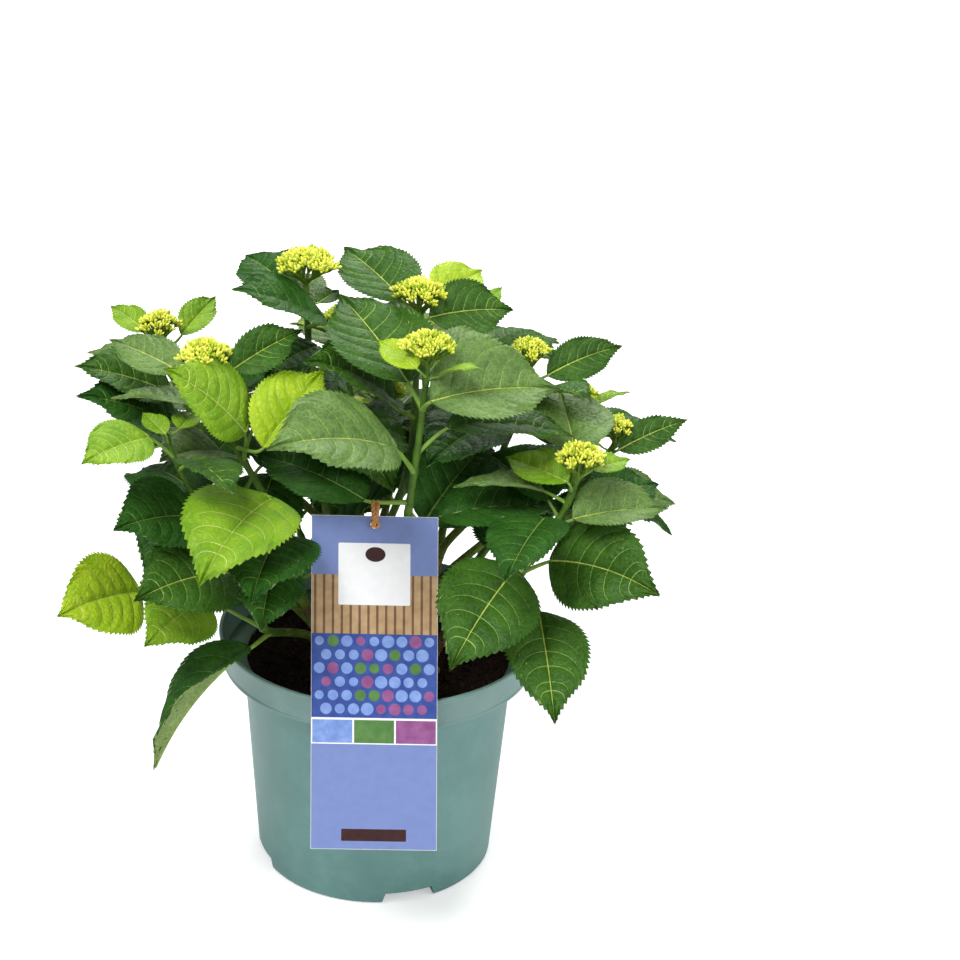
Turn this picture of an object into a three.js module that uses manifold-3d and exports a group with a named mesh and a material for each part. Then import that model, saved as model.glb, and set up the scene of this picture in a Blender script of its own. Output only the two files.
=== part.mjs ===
// Garden shrub with bud clusters in a round nursery pot, with a hanging card. Millimetres, Z up.
// The pot's axis is Z, its underside is z = 0, and the front of the shrub faces -Y.
import * as THREE from "three";
import Module from "manifold-3d";

const wasm = await Module();
wasm.setup();
const { Manifold, Mesh } = wasm;

// Pot, soil and card
const POT_HEIGHT = 180;
const RIM_RADIUS = 115;
const COLLAR_HEIGHT = 22.5;
const COLLAR_FOOT_RADIUS = 112.3;
const BODY_TOP_RADIUS = 97.5;
const BASE_RADIUS = 86;
const WALL = 2.2;
const FLOOR = 11;
const NOTCH = { count: 4, first: -72.5, width: 40, height: 8.5, depth: 13, slant: 2.5 };
const SOIL_TOP = 157;
const CLEAR = 0.3;
const CARD = {
  width: 85.5, thick: 1, top: [-4.5, -66.3, 298.9], foot: [-0.5, -152.3, 89.1], hole: 3, holeDrop: 5.5,
};
const LOOP = { strand: 1.05, centre: [-4.4, -64.7, 303.9], high: 9.05, deep: 7.6, lean: -20 };

// Woody canes: foot on the soil and top, each with a flared root
const CANE = { foot: 4.9, top: 3.5, flare: 1.75, flareHeight: 9, sides: 8, steps: 6, rise: 50 };
const CANES = {
  front: [[4, -28], [9, -48, 212]],
  middle: [[-20, 6], [-26, 14, 222]],
  left: [[-34, -24], [-52, -34, 214]],
  right: [[36, -22], [56, -38, 210]],
  right_rear: [[26, 18], [42, 32, 220]],
  back: [[-6, 34], [-14, 58, 216]],
};

// Shoots: cane, height of the fork on the cane (1 = its tip), foot of the leafy part,
// centre of the bud cluster, cluster radius (0 = leafy tip), bearing of the lowest leaf pair
const SHOOTS = {
  front: ["front", 1, [14, -58, 262], [27.7, -70, 425], 19, 0],
  middle: ["middle", 1, [6, 8, 262], [22.7, 15, 431.5], 20, 40],
  crown: ["middle", 0.66, [-40, 24, 262], [-55.8, 30, 445], 23, 20],
  left_front: ["left", 1, [-58, -42, 250], [-120, -50, 408], 18.5, 80],
  left_back: ["left", 0.78, [-92, 10, 262], [-158, 40, 394], 15, 60],
  left_low: ["left", 0.58, [-92, -46, 250], [-144.5, -70, 362], 0, 30],
  left_skirt: ["left", 0.38, [-72, -60, 205], [-88, -84, 250], 0, 10],
  right_back: ["right_rear", 1, [66, 24, 262], [101, 30, 385], 14.5, 50],
  right_front: ["right", 1, [92, -60, 250], [131, -75, 350], 17, 70],
  right_far: ["right", 0.66, [98, -6, 250], [161, -10, 346], 10, 20],
  back_top: ["back", 1, [-18, 92, 258], [-30, 132, 368], 19, 30],
  back_left: ["back", 0.76, [-66, 76, 250], [-112, 112, 322], 17, 75],
  back_right: ["right_rear", 0.76, [50, 78, 262], [62, 112, 390], 19, 60],
  right_rear: ["right_rear", 0.52, [104, 52, 254], [140, 84, 330], 17, 15],
  back_low: ["back", 0.52, [6, 110, 240], [0, 150, 305], 16, 45],
  back_skirt: ["back", 0.3, [-50, 74, 202], [-68, 98, 244], 0, 35],
  rear_skirt: ["right_rear", 0.32, [70, 62, 202], [90, 84, 244], 0, 80],
};
const BOUGH = { foot: 3.2, top: 2.8, sides: 6, steps: 4 };
const STEM = { foot: 2.8, top: 1.9, leafyTop: 1.2, sides: 6, steps: 6 };
const STALK = { foot: 1.5, top: 1.2, sharpTurn: -0.1 };

// Leaf blade: half width is a share of the length, widest below the middle, with a drawn-out tip
const HALF_WIDTH = 0.36;
const BASE_POWER = 0.62;
const TIP_POWER = 1.15;
const LEAF_ROWS = [0, 0.12, 0.35, 0.62, 0.85, 1];
const LEAF_THICK = 0.0125;

// Leaves with their own pose. Columns: shoot, place along the shoot, bearing of the stalk, its lift and
// length, heading of the blade, its rise, bend and length, roll, twist, fold
const POSED = [
  ["front", 0.46, -130, 50, 30, -145, 30, -35, 106, 25, 0, 12],
  ["front", 0.25, 55, -40, 24, 60, 18, -20, 104, -35, 0, 10],
  ["front", 0.78, 140, 50, 20, 120, 25, -15, 102, 5, 0, 10],
  ["front", 0.78, -70, 40, 16, 22, 10, -25, 96, -32, 0, 22],
  ["front", 0.93, -120, 40, 16, 130, 15, -10, 42, 20, 0, 15],
  ["front", 0.93, 70, 5, 32, 45, 5, -10, 58, -15, 0, 12],
  ["front", 0.3, 183, 3, 30, 150, 20, -25, 92, 10, 0, 10],
  ["middle", 0.5, -125, 35, 32, -145, 52, -40, 90, 35, 0, 25],
  ["middle", 0.88, 130, 55, 24, 125, 20, -15, 80, 10, 0, 12],
  ["middle", 0.88, -50, 55, 20, 25, 7, -20, 66, -45, 0, 15],
  ["middle", 0.96, 45, 30, 18, 55, 10, -10, 60, -30, 0, 12],
  ["crown", 0.8, -60, 30, 28, -148, 35, -20, 80, 18, 0, 10],
  ["crown", 0.92, -35, -5, 10, 60, 7, -10, 28, -20, 0, 15],
  ["crown", 0.9, 125, 10, 22, 120, 10, -15, 70, 15, 0, 10],
  ["crown", 0.58, -55, 70, 28, -125, 10, -30, 62, 15, 0, 10],
  ["left_front", 0.36, -75, 20, 26, -115, 10, -45, 106, 10, 0, 10],
  ["left_front", 0.55, -83, 58, 33, 201, 57, -28, 78, 44, 0, 10],
  ["left_front", 0.62, -55, 20, 36, 55, 35, -15, 76, -20, 0, 28],
  ["left_front", 0.88, 5, 55, 22, 35, 25, -15, 60, -50, 0, 25],
  ["left_front", 0.88, 160, 30, 26, 145, 15, -15, 64, 20, 0, 10],
  ["left_back", 0.92, 165, 50, 20, 130, 15, -15, 46, 25, 0, 15],
  ["left_back", 0.92, 25, 45, 18, 65, 20, -10, 52, -25, 0, 25],
  ["left_back", 0.7, -110, 25, 18, -160, 32, -20, 74, 25, 0, 12],
  ["left_back", 0.48, -125, 25, 26, -155, 40, -30, 84, 25, 0, 10],
  ["left_back", 0.3, -80, 30, 34, -123, 34, -35, 78, 15, 0, 18],
  ["left_low", 0.85, -150, 45, 24, -130, 10, -20, 62, 25, 0, 10],
  ["left_low", 0.93, -100, 55, 12, 127, 15, -10, 30, 10, 0, 15],
  ["left_low", 0.97, 25, 30, 10, 75, 2, -10, 34, -10, 0, 15],
  ["left_low", 0.35, -165, 35, 10, -130, 25, -25, 84, 38, 0, 10],
  ["left_low", 0.04, 180, -20, 76, -125, 20, -20, 86, 50, 0, 10],
  ["left_skirt", 0.6, -170, 65, 38, -135, 20, -30, 88, 38, 0, 10],
  ["left_skirt", 0.3, 175, 25, 44, -120, 10, -25, 74, 35, 0, 10],
  ["left_skirt", 0.95, -15, 60, 34, -95, 0, -30, 70, 15, 0, 10],
  ["left_skirt", 0.9, 25, 10, 62, 175, -63, -30, 60, 10, 0, 10],
  ["left_skirt", 0.1, -117, 2, 28, -142, -18, -47, 108, 6, -68, 30],
  ["right_front", 0.1, -110, 25, 20, -120, -10, -25, 98, 25, 0, 10],
  ["right_front", 0.02, -50, -35, 30, -85, -10, -25, 98, 0, 0, 10],
  ["right_front", 0.06, -10, 30, 24, -40, 20, -35, 94, -50, 0, 10],
  ["right_front", 0.55, -45, 35, 18, 20, 8, -20, 72, -20, 0, 25],
  ["right_front", 0.6, 35, 15, 30, 40, 5, -20, 66, -20, 0, 10],
  ["right_front", 0.85, -120, 55, 12, 137, 6, -10, 56, 20, 0, 18],
  ["right_front", 0.95, 15, 30, 12, 35, 5, -10, 34, -20, 0, 15],
  ["right_front", 0.8, 80, 45, 34, 95, 15, -15, 86, 0, 0, 8],
  ["right_front", 0.62, 145, 50, 14, 105, 15, -10, 62, 10, 0, 10],
  ["right_far", 0.9, -45, 35, 10, 20, 25, -15, 56, -52, 0, 12],
  ["right_far", 0.6, -55, 15, 22, 38, 1, -15, 66, -25, 0, 10],
  ["right_back", 0.88, -15, 30, 18, 30, 20, -20, 66, -48, 0, 12],
  ["right_front", 0.08, 75, 15, 18, 105, 20, -20, 80, 20, 0, 10],
  ["right_back", 0.4, -120, 20, 16, -60, 0, -25, 78, -20, 0, 10],
];

// Other leaves stand in crossed pairs. Rungs: place along the shoot, leaf length, rise
const RUNGS = [
  [0.1, 96, 0],
  [0.33, 92, 0],
  [0.56, 82, 5],
  [0.76, 64, 15],
  [0.92, 36, 35],
];
const SHORT_LEAVED = { right_far: 0.75, left_skirt: 0.75 };
const SKIRTS = ["left_skirt", "back_skirt", "rear_skirt"];
const SKIRT_RUNGS = 3;
const BARE = ["front 1 1", "left_skirt 1 1", "left_low 2 1", "right_front 3 1", "right_back 2 0"];
const SEED = 20;
const POSE_TRIES = [[0, 0], [8, 0], [-8, 0], [0, 12], [0, -12], [14, 12], [14, -12], [-14, 12], [-14, -12]];
const WIDE_TRIES = [[20, 0], [-20, 0], [0, 28], [0, -28], [24, 25], [24, -25], [-24, 25], [-24, -25]];
const FREE_TRIES = [...POSE_TRIES, ...WIDE_TRIES];

// Small vector sums
const RAD = Math.PI / 180;
const add = (a, b) => [a[0] + b[0], a[1] + b[1], a[2] + b[2]];
const sub = (a, b) => [a[0] - b[0], a[1] - b[1], a[2] - b[2]];
const mul = (a, k) => [a[0] * k, a[1] * k, a[2] * k];
const dot = (a, b) => a[0] * b[0] + a[1] * b[1] + a[2] * b[2];
const cross = (a, b) => [a[1] * b[2] - a[2] * b[1], a[2] * b[0] - a[0] * b[2], a[0] * b[1] - a[1] * b[0]];
const size = (a) => Math.sqrt(dot(a, a));
const unit = (a) => mul(a, 1 / size(a));
const between = (a, b, t) => add(a, mul(sub(b, a), t));

function aim(bearing, pitch) {
  const flat = Math.cos(pitch * RAD);
  return [flat * Math.cos(bearing * RAD), flat * Math.sin(bearing * RAD), Math.sin(pitch * RAD)];
}

function hermite(p0, m0, p1, m1, t) {
  const a = 2 * t ** 3 - 3 * t ** 2 + 1;
  const b = t ** 3 - 2 * t ** 2 + t;
  const c = -2 * t ** 3 + 3 * t ** 2;
  const d = t ** 3 - t ** 2;
  return [0, 1, 2].map((i) => a * p0[i] + b * m0[i] + c * p1[i] + d * m1[i]);
}

function seeded(seed) {
  let s = seed >>> 0;
  return () => {
    s = (s + 0x6d2b79f5) >>> 0;
    let t = Math.imul(s ^ (s >>> 15), s | 1) >>> 0;
    t = (t ^ ((t + Math.imul(t ^ (t >>> 7), t | 61)) >>> 0)) >>> 0;
    return ((t ^ (t >>> 14)) >>> 0) / 4294967296;
  };
}

// Limb paths
function canePoint(name, t) {
  const [root, top] = CANES[name];
  const foot = [root[0], root[1], SOIL_TOP + CLEAR];
  return hermite(foot, [0, 0, CANE.rise], top, mul(unit(sub(top, foot)), CANE.rise), t);
}

function caneHeading(name, t) {
  return unit(sub(canePoint(name, t), canePoint(name, t - 0.1)));
}

function stemPath(name) {
  const [cane, , foot, head, radius] = SHOOTS[name];
  const top = CANES[cane][1];
  const length = size(sub(head, foot));
  const start = mul(unit(add(unit(sub(foot, top)), unit(sub(head, foot)))), length);
  const finish = mul(unit(add(unit(sub(head, foot)), [0, 0, 0.8])), length);
  const end = sub(head, [0, 0, radius ? 12 : 4]);
  return [foot, start, end, finish];
}
const stemPoint = (name, t) => hermite(...stemPath(name), t);

function boughPoint(name, t) {
  const [cane, fork, foot] = SHOOTS[name];
  const [, stemStart] = stemPath(name);
  const along = caneHeading(cane, fork);
  const tip = fork === 1;
  const start = tip ? add(canePoint(cane, 1), mul(along, CLEAR)) : canePoint(cane, fork);
  const end = sub(foot, mul(unit(stemStart), CLEAR));
  const length = size(sub(end, start));
  const away = tip ? along : unit(add(along, mul(unit(sub(end, start)), 1.2)));
  return hermite(start, mul(away, length), end, mul(unit(stemStart), length), t);
}

const pathOf = (point, steps) => Array.from({ length: steps + 1 }, (_, i) => point(i / steps));

// Leaf surface: t runs from stalk to tip, x from -1 to 1 across
const PEAK = BASE_POWER / (BASE_POWER + TIP_POWER);
const PEAK_VALUE = PEAK ** BASE_POWER * (1 - PEAK) ** TIP_POWER;
const halfWidth = (leaf, t) => (HALF_WIDTH * leaf.long * t ** BASE_POWER * (1 - t) ** TIP_POWER) / PEAK_VALUE;

function midrib(leaf, t) {
  const start = leaf.rise * RAD;
  const bend = leaf.bend * RAD;
  const out = ((Math.sin(start + bend * t) - Math.sin(start)) / bend) * leaf.long;
  const up = (-(Math.cos(start + bend * t) - Math.cos(start)) / bend) * leaf.long;
  const h = leaf.heading * RAD;
  return add(leaf.base, [out * Math.cos(h), out * Math.sin(h), up]);
}

function bladeFrame(leaf, t) {
  const ahead = aim(leaf.heading, leaf.rise + leaf.bend * t);
  const flat = [Math.sin(leaf.heading * RAD), -Math.cos(leaf.heading * RAD), 0];
  const over = cross(flat, ahead);
  const roll = (leaf.roll + leaf.twist * t) * RAD;
  const side = add(mul(flat, Math.cos(roll)), mul(over, Math.sin(roll)));
  const normal = sub(mul(over, Math.cos(roll)), mul(flat, Math.sin(roll)));
  return { side, normal };
}

function bladePoint(leaf, t, x) {
  const { side, normal } = bladeFrame(leaf, t);
  const w = halfWidth(leaf, t);
  const fold = leaf.fold * RAD;
  const across = mul(side, w * x * Math.cos(fold));
  const lift = mul(normal, w * Math.abs(x) * Math.sin(fold));
  return add(midrib(leaf, t), add(across, lift));
}

function withBase(leaf) {
  const base = add(stemPoint(leaf.shoot, leaf.at), mul(aim(leaf.bearing, leaf.lift), leaf.stalk));
  return { ...leaf, base };
}

// Clearance of one leaf from what already stands
const LEAF_GAP = { posed: 1.2, free: 2.5 };
const LIMB_GAP = 2.2;
const STALK_GAP = 2.2;
const STALK_SAMPLES = [0.2, 0.3, 0.4, 0.5, 0.6, 0.7, 0.8, 0.9, 1];
const SAMPLE_ROWS = [0.06, 0.2, 0.35, 0.5, 0.65, 0.8, 0.92, 1];
const SAMPLE_COLUMNS = [-1, -0.5, 0, 0.5, 1];

function bladeGrid(leaf) {
  return LEAF_ROWS.map((t) => [-1, 0, 1].map((x) => bladePoint(leaf, t, x)));
}

function bladeLines(leaf, gap) {
  const g = bladeGrid(leaf);
  const lines = [];
  for (let i = 0; i + 1 < g.length; i += 1) {
    for (let j = 0; j < 3; j += 1) lines.push([g[i][j], g[i + 1][j]]);
    lines.push([g[i][0], g[i + 1][1]], [g[i][2], g[i + 1][1]]);
  }
  for (let i = 1; i + 1 < g.length; i += 1) lines.push([g[i][0], g[i][1]], [g[i][1], g[i][2]]);
  const lift = mul(bladeFrame(leaf, 0.5).normal, gap);
  return lines.flatMap(([a, b]) => [[a, b], [add(a, lift), add(b, lift)], [sub(a, lift), sub(b, lift)]]);
}

function bladeFaces(leaf) {
  const g = bladeGrid(leaf);
  const faces = [];
  for (let i = 0; i + 1 < g.length; i += 1) {
    for (let j = 0; j < 2; j += 1) {
      const [a, b, c, d] = [g[i][j], g[i][j + 1], g[i + 1][j], g[i + 1][j + 1]];
      faces.push([a, b, d], [a, d, c]);
    }
  }
  return faces;
}

function boxOf(points) {
  const low = [Infinity, Infinity, Infinity];
  const high = [-Infinity, -Infinity, -Infinity];
  for (const p of points) {
    for (let i = 0; i < 3; i += 1) {
      low[i] = Math.min(low[i], p[i]);
      high[i] = Math.max(high[i], p[i]);
    }
  }
  return { low, high };
}
const apart = (a, b) => [0, 1, 2].some((i) => a.low[i] > b.high[i] || b.low[i] > a.high[i]);

function lineMeetsFace([p, q], [a, b, c]) {
  const d = sub(q, p);
  const e1 = sub(b, a);
  const e2 = sub(c, a);
  const h = cross(d, e2);
  const det = dot(e1, h);
  if (Math.abs(det) < 1e-9) return false;
  const s = sub(p, a);
  const u = dot(s, h) / det;
  if (u < 0 || u > 1) return false;
  const r = cross(s, e1);
  const v = dot(d, r) / det;
  if (v < 0 || u + v > 1) return false;
  const t = dot(e2, r) / det;
  return t >= 0 && t <= 1;
}

function anyMeets(lines, faces) {
  const boxes = faces.map(boxOf);
  return lines.some((line) => {
    const box = boxOf(line);
    return faces.some((face, i) => !apart(box, boxes[i]) && lineMeetsFace(line, face));
  });
}

function lineDistance(p, a, b) {
  const ab = sub(b, a);
  const t = Math.min(Math.max(dot(sub(p, a), ab) / Math.max(dot(ab, ab), 1e-9), 0), 1);
  return size(sub(p, add(a, mul(ab, t))));
}

// Axis of a limb piece and four lines along its skin
function limbLines(a, b, radius) {
  const along = unit(sub(b, a));
  const x = mul(unit(cross(along, Math.abs(along[2]) < 0.9 ? [0, 0, 1] : [1, 0, 0])), radius);
  const y = cross(along, x);
  const shifts = [[0, 0, 0], x, y, mul(x, -1), mul(y, -1)];
  return shifts.map((shift) => [add(a, shift), add(b, shift)]);
}

function nearPot(p) {
  const r = Math.hypot(p[0], p[1]);
  if (p[2] < SOIL_TOP + 3 && r < 112) return true;
  if (r > 103 && r < RIM_RADIUS + 4 && p[2] < POT_HEIGHT + 4) return true;
  return (p[2] < SOIL_TOP && r < BODY_TOP_RADIUS + 4) || p[2] < 4;
}

const cardSide = [CARD.width, 0, 0];
const cardDown = sub(CARD.foot, CARD.top);
const cardNormal = unit(cross(cardSide, cardDown));
const cardCorner = sub(CARD.top, mul(cardSide, 0.5));

function nearCard(p) {
  const d = sub(p, cardCorner);
  const a = dot(d, cardSide) / dot(cardSide, cardSide);
  const b = dot(d, cardDown) / dot(cardDown, cardDown);
  return a > -0.06 && a < 1.06 && b > -0.03 && b < 1.03 && Math.abs(dot(d, cardNormal)) < 5;
}

const nearLoop = (p) => size(sub(p, LOOP.centre)) < LOOP.high + 3.5;

class Space {
  constructor() {
    this.limbs = [];
    this.heads = [];
    this.blades = [];
  }

  addLimb(points, radius, owner) {
    for (let i = 0; i + 1 < points.length; i += 1) this.limbs.push([points[i], points[i + 1], radius, owner]);
  }

  nearHead(leaf, points) {
    for (const [centre, radius, owner] of this.heads) {
      if (owner === leaf.shoot && leaf.posed) continue;
      if (size(sub(centre, leaf.base)) > radius + leaf.long * 1.1 + 10) continue;
      for (const p of points) {
        if (owner === leaf.shoot && size(sub(p, leaf.base)) < 6) continue;
        const d = sub(p, centre);
        if (Math.hypot(d[0] / (radius + 1.5), d[1] / (radius + 1.5), d[2] / 10) < 1) return true;
      }
    }
    return false;
  }

  nearLimb(leaf, points, root, faces) {
    const stalk = STALK_SAMPLES.map((t) => between(root, leaf.base, t));
    for (const [a, b, radius, owner] of this.limbs) {
      const reach = size(sub(a, b)) / 2 + Math.max(leaf.long * 1.1, leaf.stalk) + radius + 5;
      if (size(sub(between(a, b, 0.5), leaf.base)) > reach) continue;
      const own = owner === leaf.shoot;
      for (const p of own ? points.slice(3) : points) {
        if (lineDistance(p, a, b) >= radius + LIMB_GAP) continue;
        if (own && size(sub(p, leaf.base)) < 8) continue;
        return true;
      }
      if (anyMeets(limbLines(a, b, radius + 0.8), faces)) return true;
      if (!own && stalk.some((p) => lineDistance(p, a, b) < radius + STALK_GAP)) return true;
    }
    return false;
  }

  free(leaf) {
    const points = SAMPLE_ROWS.flatMap((t) => SAMPLE_COLUMNS.map((x) => bladePoint(leaf, t, x)));
    const root = stemPoint(leaf.shoot, leaf.at);
    const stalk = [0.25, 0.5, 0.75, 1].map((t) => between(root, leaf.base, t));
    const solidParts = [...points, ...stalk.slice(1)];
    if (solidParts.some((p) => nearPot(p) || nearCard(p))) return false;
    if (points.some(nearLoop)) return false;
    const faces = bladeFaces(leaf);
    if (this.nearHead(leaf, points) || this.nearLimb(leaf, points, root, faces)) return false;
    const lines = bladeLines(leaf, leaf.posed ? LEAF_GAP.posed : LEAF_GAP.free);
    const up = [0, 0, 2];
    const stalkLines = [0, 1, 2].flatMap((k) => [
      [stalk[k], stalk[k + 1]],
      [add(stalk[k], up), add(stalk[k + 1], up)],
      [sub(stalk[k], up), sub(stalk[k + 1], up)],
    ]);
    const box = boxOf([...lines.flat(), ...stalkLines.flat()]);
    for (const blade of this.blades) {
      if (apart(box, blade.box)) continue;
      if (anyMeets(lines, blade.faces) || anyMeets(stalkLines, blade.faces)) return false;
      if (anyMeets(blade.lines, faces)) return false;
    }
    return true;
  }

  put(leaf) {
    const root = stemPoint(leaf.shoot, leaf.at);
    const lines = bladeLines(leaf, leaf.posed ? LEAF_GAP.posed : LEAF_GAP.free);
    lines.push([between(root, leaf.base, 0.25), leaf.base]);
    this.blades.push({ lines, faces: bladeFaces(leaf), box: boxOf(lines.flat()) });
    this.limbs.push([root, leaf.base, 1.4, leaf.shoot]);
  }
}

// All leaves of the shrub: the posed ones first, then the crossed pairs where there is room
function growLeaves() {
  const space = new Space();
  for (const name of Object.keys(CANES)) space.addLimb(pathOf((t) => canePoint(name, t), 5), 5, name);
  for (const [name, [, , , head, radius]] of Object.entries(SHOOTS)) {
    space.addLimb(pathOf((t) => boughPoint(name, t), 4), 3.2, "bough " + name);
    space.addLimb(pathOf((t) => stemPoint(name, t), 8), 2.6, name);
    if (radius) space.heads.push([head, radius, name]);
  }
  const leaves = [];
  const settle = (leaf, tries) => {
    for (const [rise, turn] of tries) {
      const bearing = leaf.posed ? leaf.bearing : leaf.bearing + turn;
      const tried = withBase({ ...leaf, bearing, rise: leaf.rise + rise, heading: leaf.heading + turn });
      if (!space.free(tried)) continue;
      space.put(tried);
      leaves.push(tried);
      return;
    }
  };
  const posed = POSED.map((row) => {
    const [shoot, at, bearing, lift, stalk, heading, rise, bend, long, roll, twist, fold] = row;
    return { shoot, at, bearing, lift, stalk, heading, rise, bend, long, roll, twist, fold, posed: true };
  });
  for (const leaf of posed) settle(leaf, POSE_TRIES);
  const chance = seeded(SEED);
  for (const [shoot, [, , , , , phase]] of Object.entries(SHOOTS)) {
    RUNGS.forEach(([at, length, rise], rung) => {
      for (const side of [0, 1]) {
        const j = [0, 1, 2, 3, 4, 5].map(() => chance());
        if (SKIRTS.includes(shoot) && rung >= SKIRT_RUNGS) continue;
        const bearing = phase + 90 * (rung % 2) + 180 * side + 24 * (j[0] - 0.5);
        const taken = (p) => {
          const turn = Math.abs(((((p.bearing - bearing + 180) % 360) + 360) % 360) - 180);
          return p.shoot === shoot && Math.abs(p.at - at) < 0.12 && turn < 60;
        };
        if (posed.some(taken) || BARE.includes(`${shoot} ${rung} ${side}`)) continue;
        const long = length * (0.9 + 0.2 * j[1]) * (SHORT_LEAVED[shoot] ?? 1);
        const leaf = {
          shoot, at, bearing, lift: 35 + 15 * (j[2] - 0.5), stalk: 0.3 * long,
          heading: bearing + 20 * (j[3] - 0.5), rise: rise + 14 * (j[4] - 0.5), bend: -30,
          long, roll: 24 * (j[5] - 0.5), twist: 0, fold: 11, posed: false,
        };
        settle(leaf, FREE_TRIES);
      }
    });
  }
  return leaves;
}

// Solids
function solidFrom(points, faces) {
  const mesh = new Mesh({
    numProp: 3,
    vertProperties: new Float32Array(points.flat()),
    triVerts: new Uint32Array(faces.flat()),
  });
  return new Manifold(mesh);
}

// Round limb along points, its end faces square to the given headings, or else to the path
function limb(points, radii, sides, headings = []) {
  const verts = [];
  const faces = [];
  const final = points.length - 1;
  let across = null;
  points.forEach((p, i) => {
    const given = (i === 0 && headings[0]) || (i === final && headings[1]);
    const ahead = given || unit(sub(points[Math.min(i + 1, final)], points[Math.max(i - 1, 0)]));
    const guess = across ?? cross(ahead, Math.abs(ahead[1]) < 0.9 ? [0, 1, 0] : [1, 0, 0]);
    across = unit(sub(guess, mul(ahead, dot(guess, ahead))));
    const third = cross(ahead, across);
    for (let k = 0; k < sides; k += 1) {
      const a = (2 * Math.PI * k) / sides;
      verts.push(add(p, add(mul(across, radii[i] * Math.cos(a)), mul(third, radii[i] * Math.sin(a)))));
    }
  });
  const last = (points.length - 1) * sides;
  for (let i = 0; i + 1 < points.length; i += 1) {
    for (let k = 0; k < sides; k += 1) {
      const a = i * sides + k;
      const b = i * sides + ((k + 1) % sides);
      faces.push([a, b, b + sides], [a, b + sides, a + sides]);
    }
  }
  for (let k = 1; k + 1 < sides; k += 1) {
    faces.push([0, k + 1, k], [last, last + k, last + k + 1]);
  }
  return solidFrom(verts, faces);
}

function taper(from, to, count) {
  return Array.from({ length: count }, (_, i) => from + ((to - from) * i) / (count - 1));
}

// Closed skin over rings of four corners, drawn to one tip. Each side is split along the line that runs out
// from corner 1 or 3, the midrib, so that a folded blade's face and underside stay apart
function skin(rings, tip) {
  const last = 4 * (rings.length - 1);
  const faces = [[0, 1, 2], [0, 2, 3]];
  for (let k = 0; k < 4; k += 1) {
    const next = (k + 1) % 4;
    for (let i = 0; i < last; i += 4) {
      const [a, b, c, d] = [i + k, i + next, i + 4 + k, i + 4 + next];
      if (k % 2) faces.push([b, a, d], [d, a, c]);
      else faces.push([b, a, c], [b, c, d]);
    }
    faces.push([last + next, last + k, last + 4]);
  }
  return solidFrom([...rings.flat(), tip], faces);
}

function stalkRing(centre, ahead, side, radius) {
  const x = unit(sub(side, mul(ahead, dot(side, ahead))));
  const y = cross(x, ahead);
  return [x, y, mul(x, -1), mul(y, -1)].map((out) => add(centre, mul(out, radius)));
}

function bladeRows(leaf) {
  const half = (LEAF_THICK * leaf.long) / 2;
  return LEAF_ROWS.slice(1, -1).map((t) => {
    const { normal } = bladeFrame(leaf, t);
    const middle = midrib(leaf, t);
    return [
      bladePoint(leaf, t, 1), add(middle, mul(normal, half)),
      bladePoint(leaf, t, -1), sub(middle, mul(normal, half)),
    ];
  });
}

// Stalk and blade as one body. Where the blade turns back over its stalk, they are two bodies fused
function leafSolid(leaf) {
  const root = stemPoint(leaf.shoot, leaf.at);
  const along = unit(sub(leaf.base, root));
  const ahead = aim(leaf.heading, leaf.rise);
  const { side } = bladeFrame(leaf, 0);
  const rows = bladeRows(leaf);
  const tip = midrib(leaf, 1);
  const foot = stalkRing(root, along, side, STALK.foot);
  if (dot(along, ahead) > STALK.sharpTurn) {
    const bend = stalkRing(leaf.base, unit(add(along, ahead)), side, STALK.top);
    return skin([foot, bend, ...rows], tip);
  }
  const end = stalkRing(leaf.base, along, side, STALK.top);
  const stalk = skin([foot, end], add(leaf.base, mul(along, STALK.top)));
  const heel = stalkRing(sub(leaf.base, ahead), ahead, side, STALK.top);
  return stalk.add(skin([heel, ...rows], tip));
}

// Bud cluster: a low bumpy dome on a narrow neck, its corners by turns out and in
const NECK = { radius: 2.2, depth: 14 };
const DOME = [[0.55, -7.5, 0.8], [0.97, -1.5, 1.2], [0.8, 3.4, 1.2], [0.42, 6.4, 1]];
const DOME_TOP = 7.8;
const DOME_SIDES = 10;

function clusterSolid(head, radius) {
  const ring = (share, height, bump, turn) => Array.from({ length: DOME_SIDES }, (_, k) => {
    const a = (2 * Math.PI * k) / DOME_SIDES;
    const out = (k + turn) % 2 ? bump : -bump;
    const r = share + out;
    return add(head, [r * Math.cos(a), r * Math.sin(a), height + out * 0.7]);
  });
  const rings = [ring(NECK.radius, -NECK.depth, 0, 0)];
  DOME.forEach(([share, height, bump], i) => rings.push(ring(share * radius, height, bump, i)));
  const verts = [...rings.flat(), add(head, [0, 0, DOME_TOP])];
  const faces = [];
  const last = (rings.length - 1) * DOME_SIDES;
  for (let k = 0; k < DOME_SIDES; k += 1) {
    const next = (k + 1) % DOME_SIDES;
    for (let i = 0; i < last; i += DOME_SIDES) {
      faces.push([i + k, i + next, i + next + DOME_SIDES], [i + k, i + next + DOME_SIDES, i + k + DOME_SIDES]);
    }
    faces.push([verts.length - 1, last + k, last + next]);
  }
  for (let k = 1; k + 1 < DOME_SIDES; k += 1) faces.push([0, k + 1, k]);
  return solidFrom(verts, faces);
}

// Largest body of a solid, so that a cut leaves no scrap
function whole(solid) {
  const bodies = solid.decompose();
  return bodies.reduce((best, body) => (body.volume() > best.volume() ? body : best));
}

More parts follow.
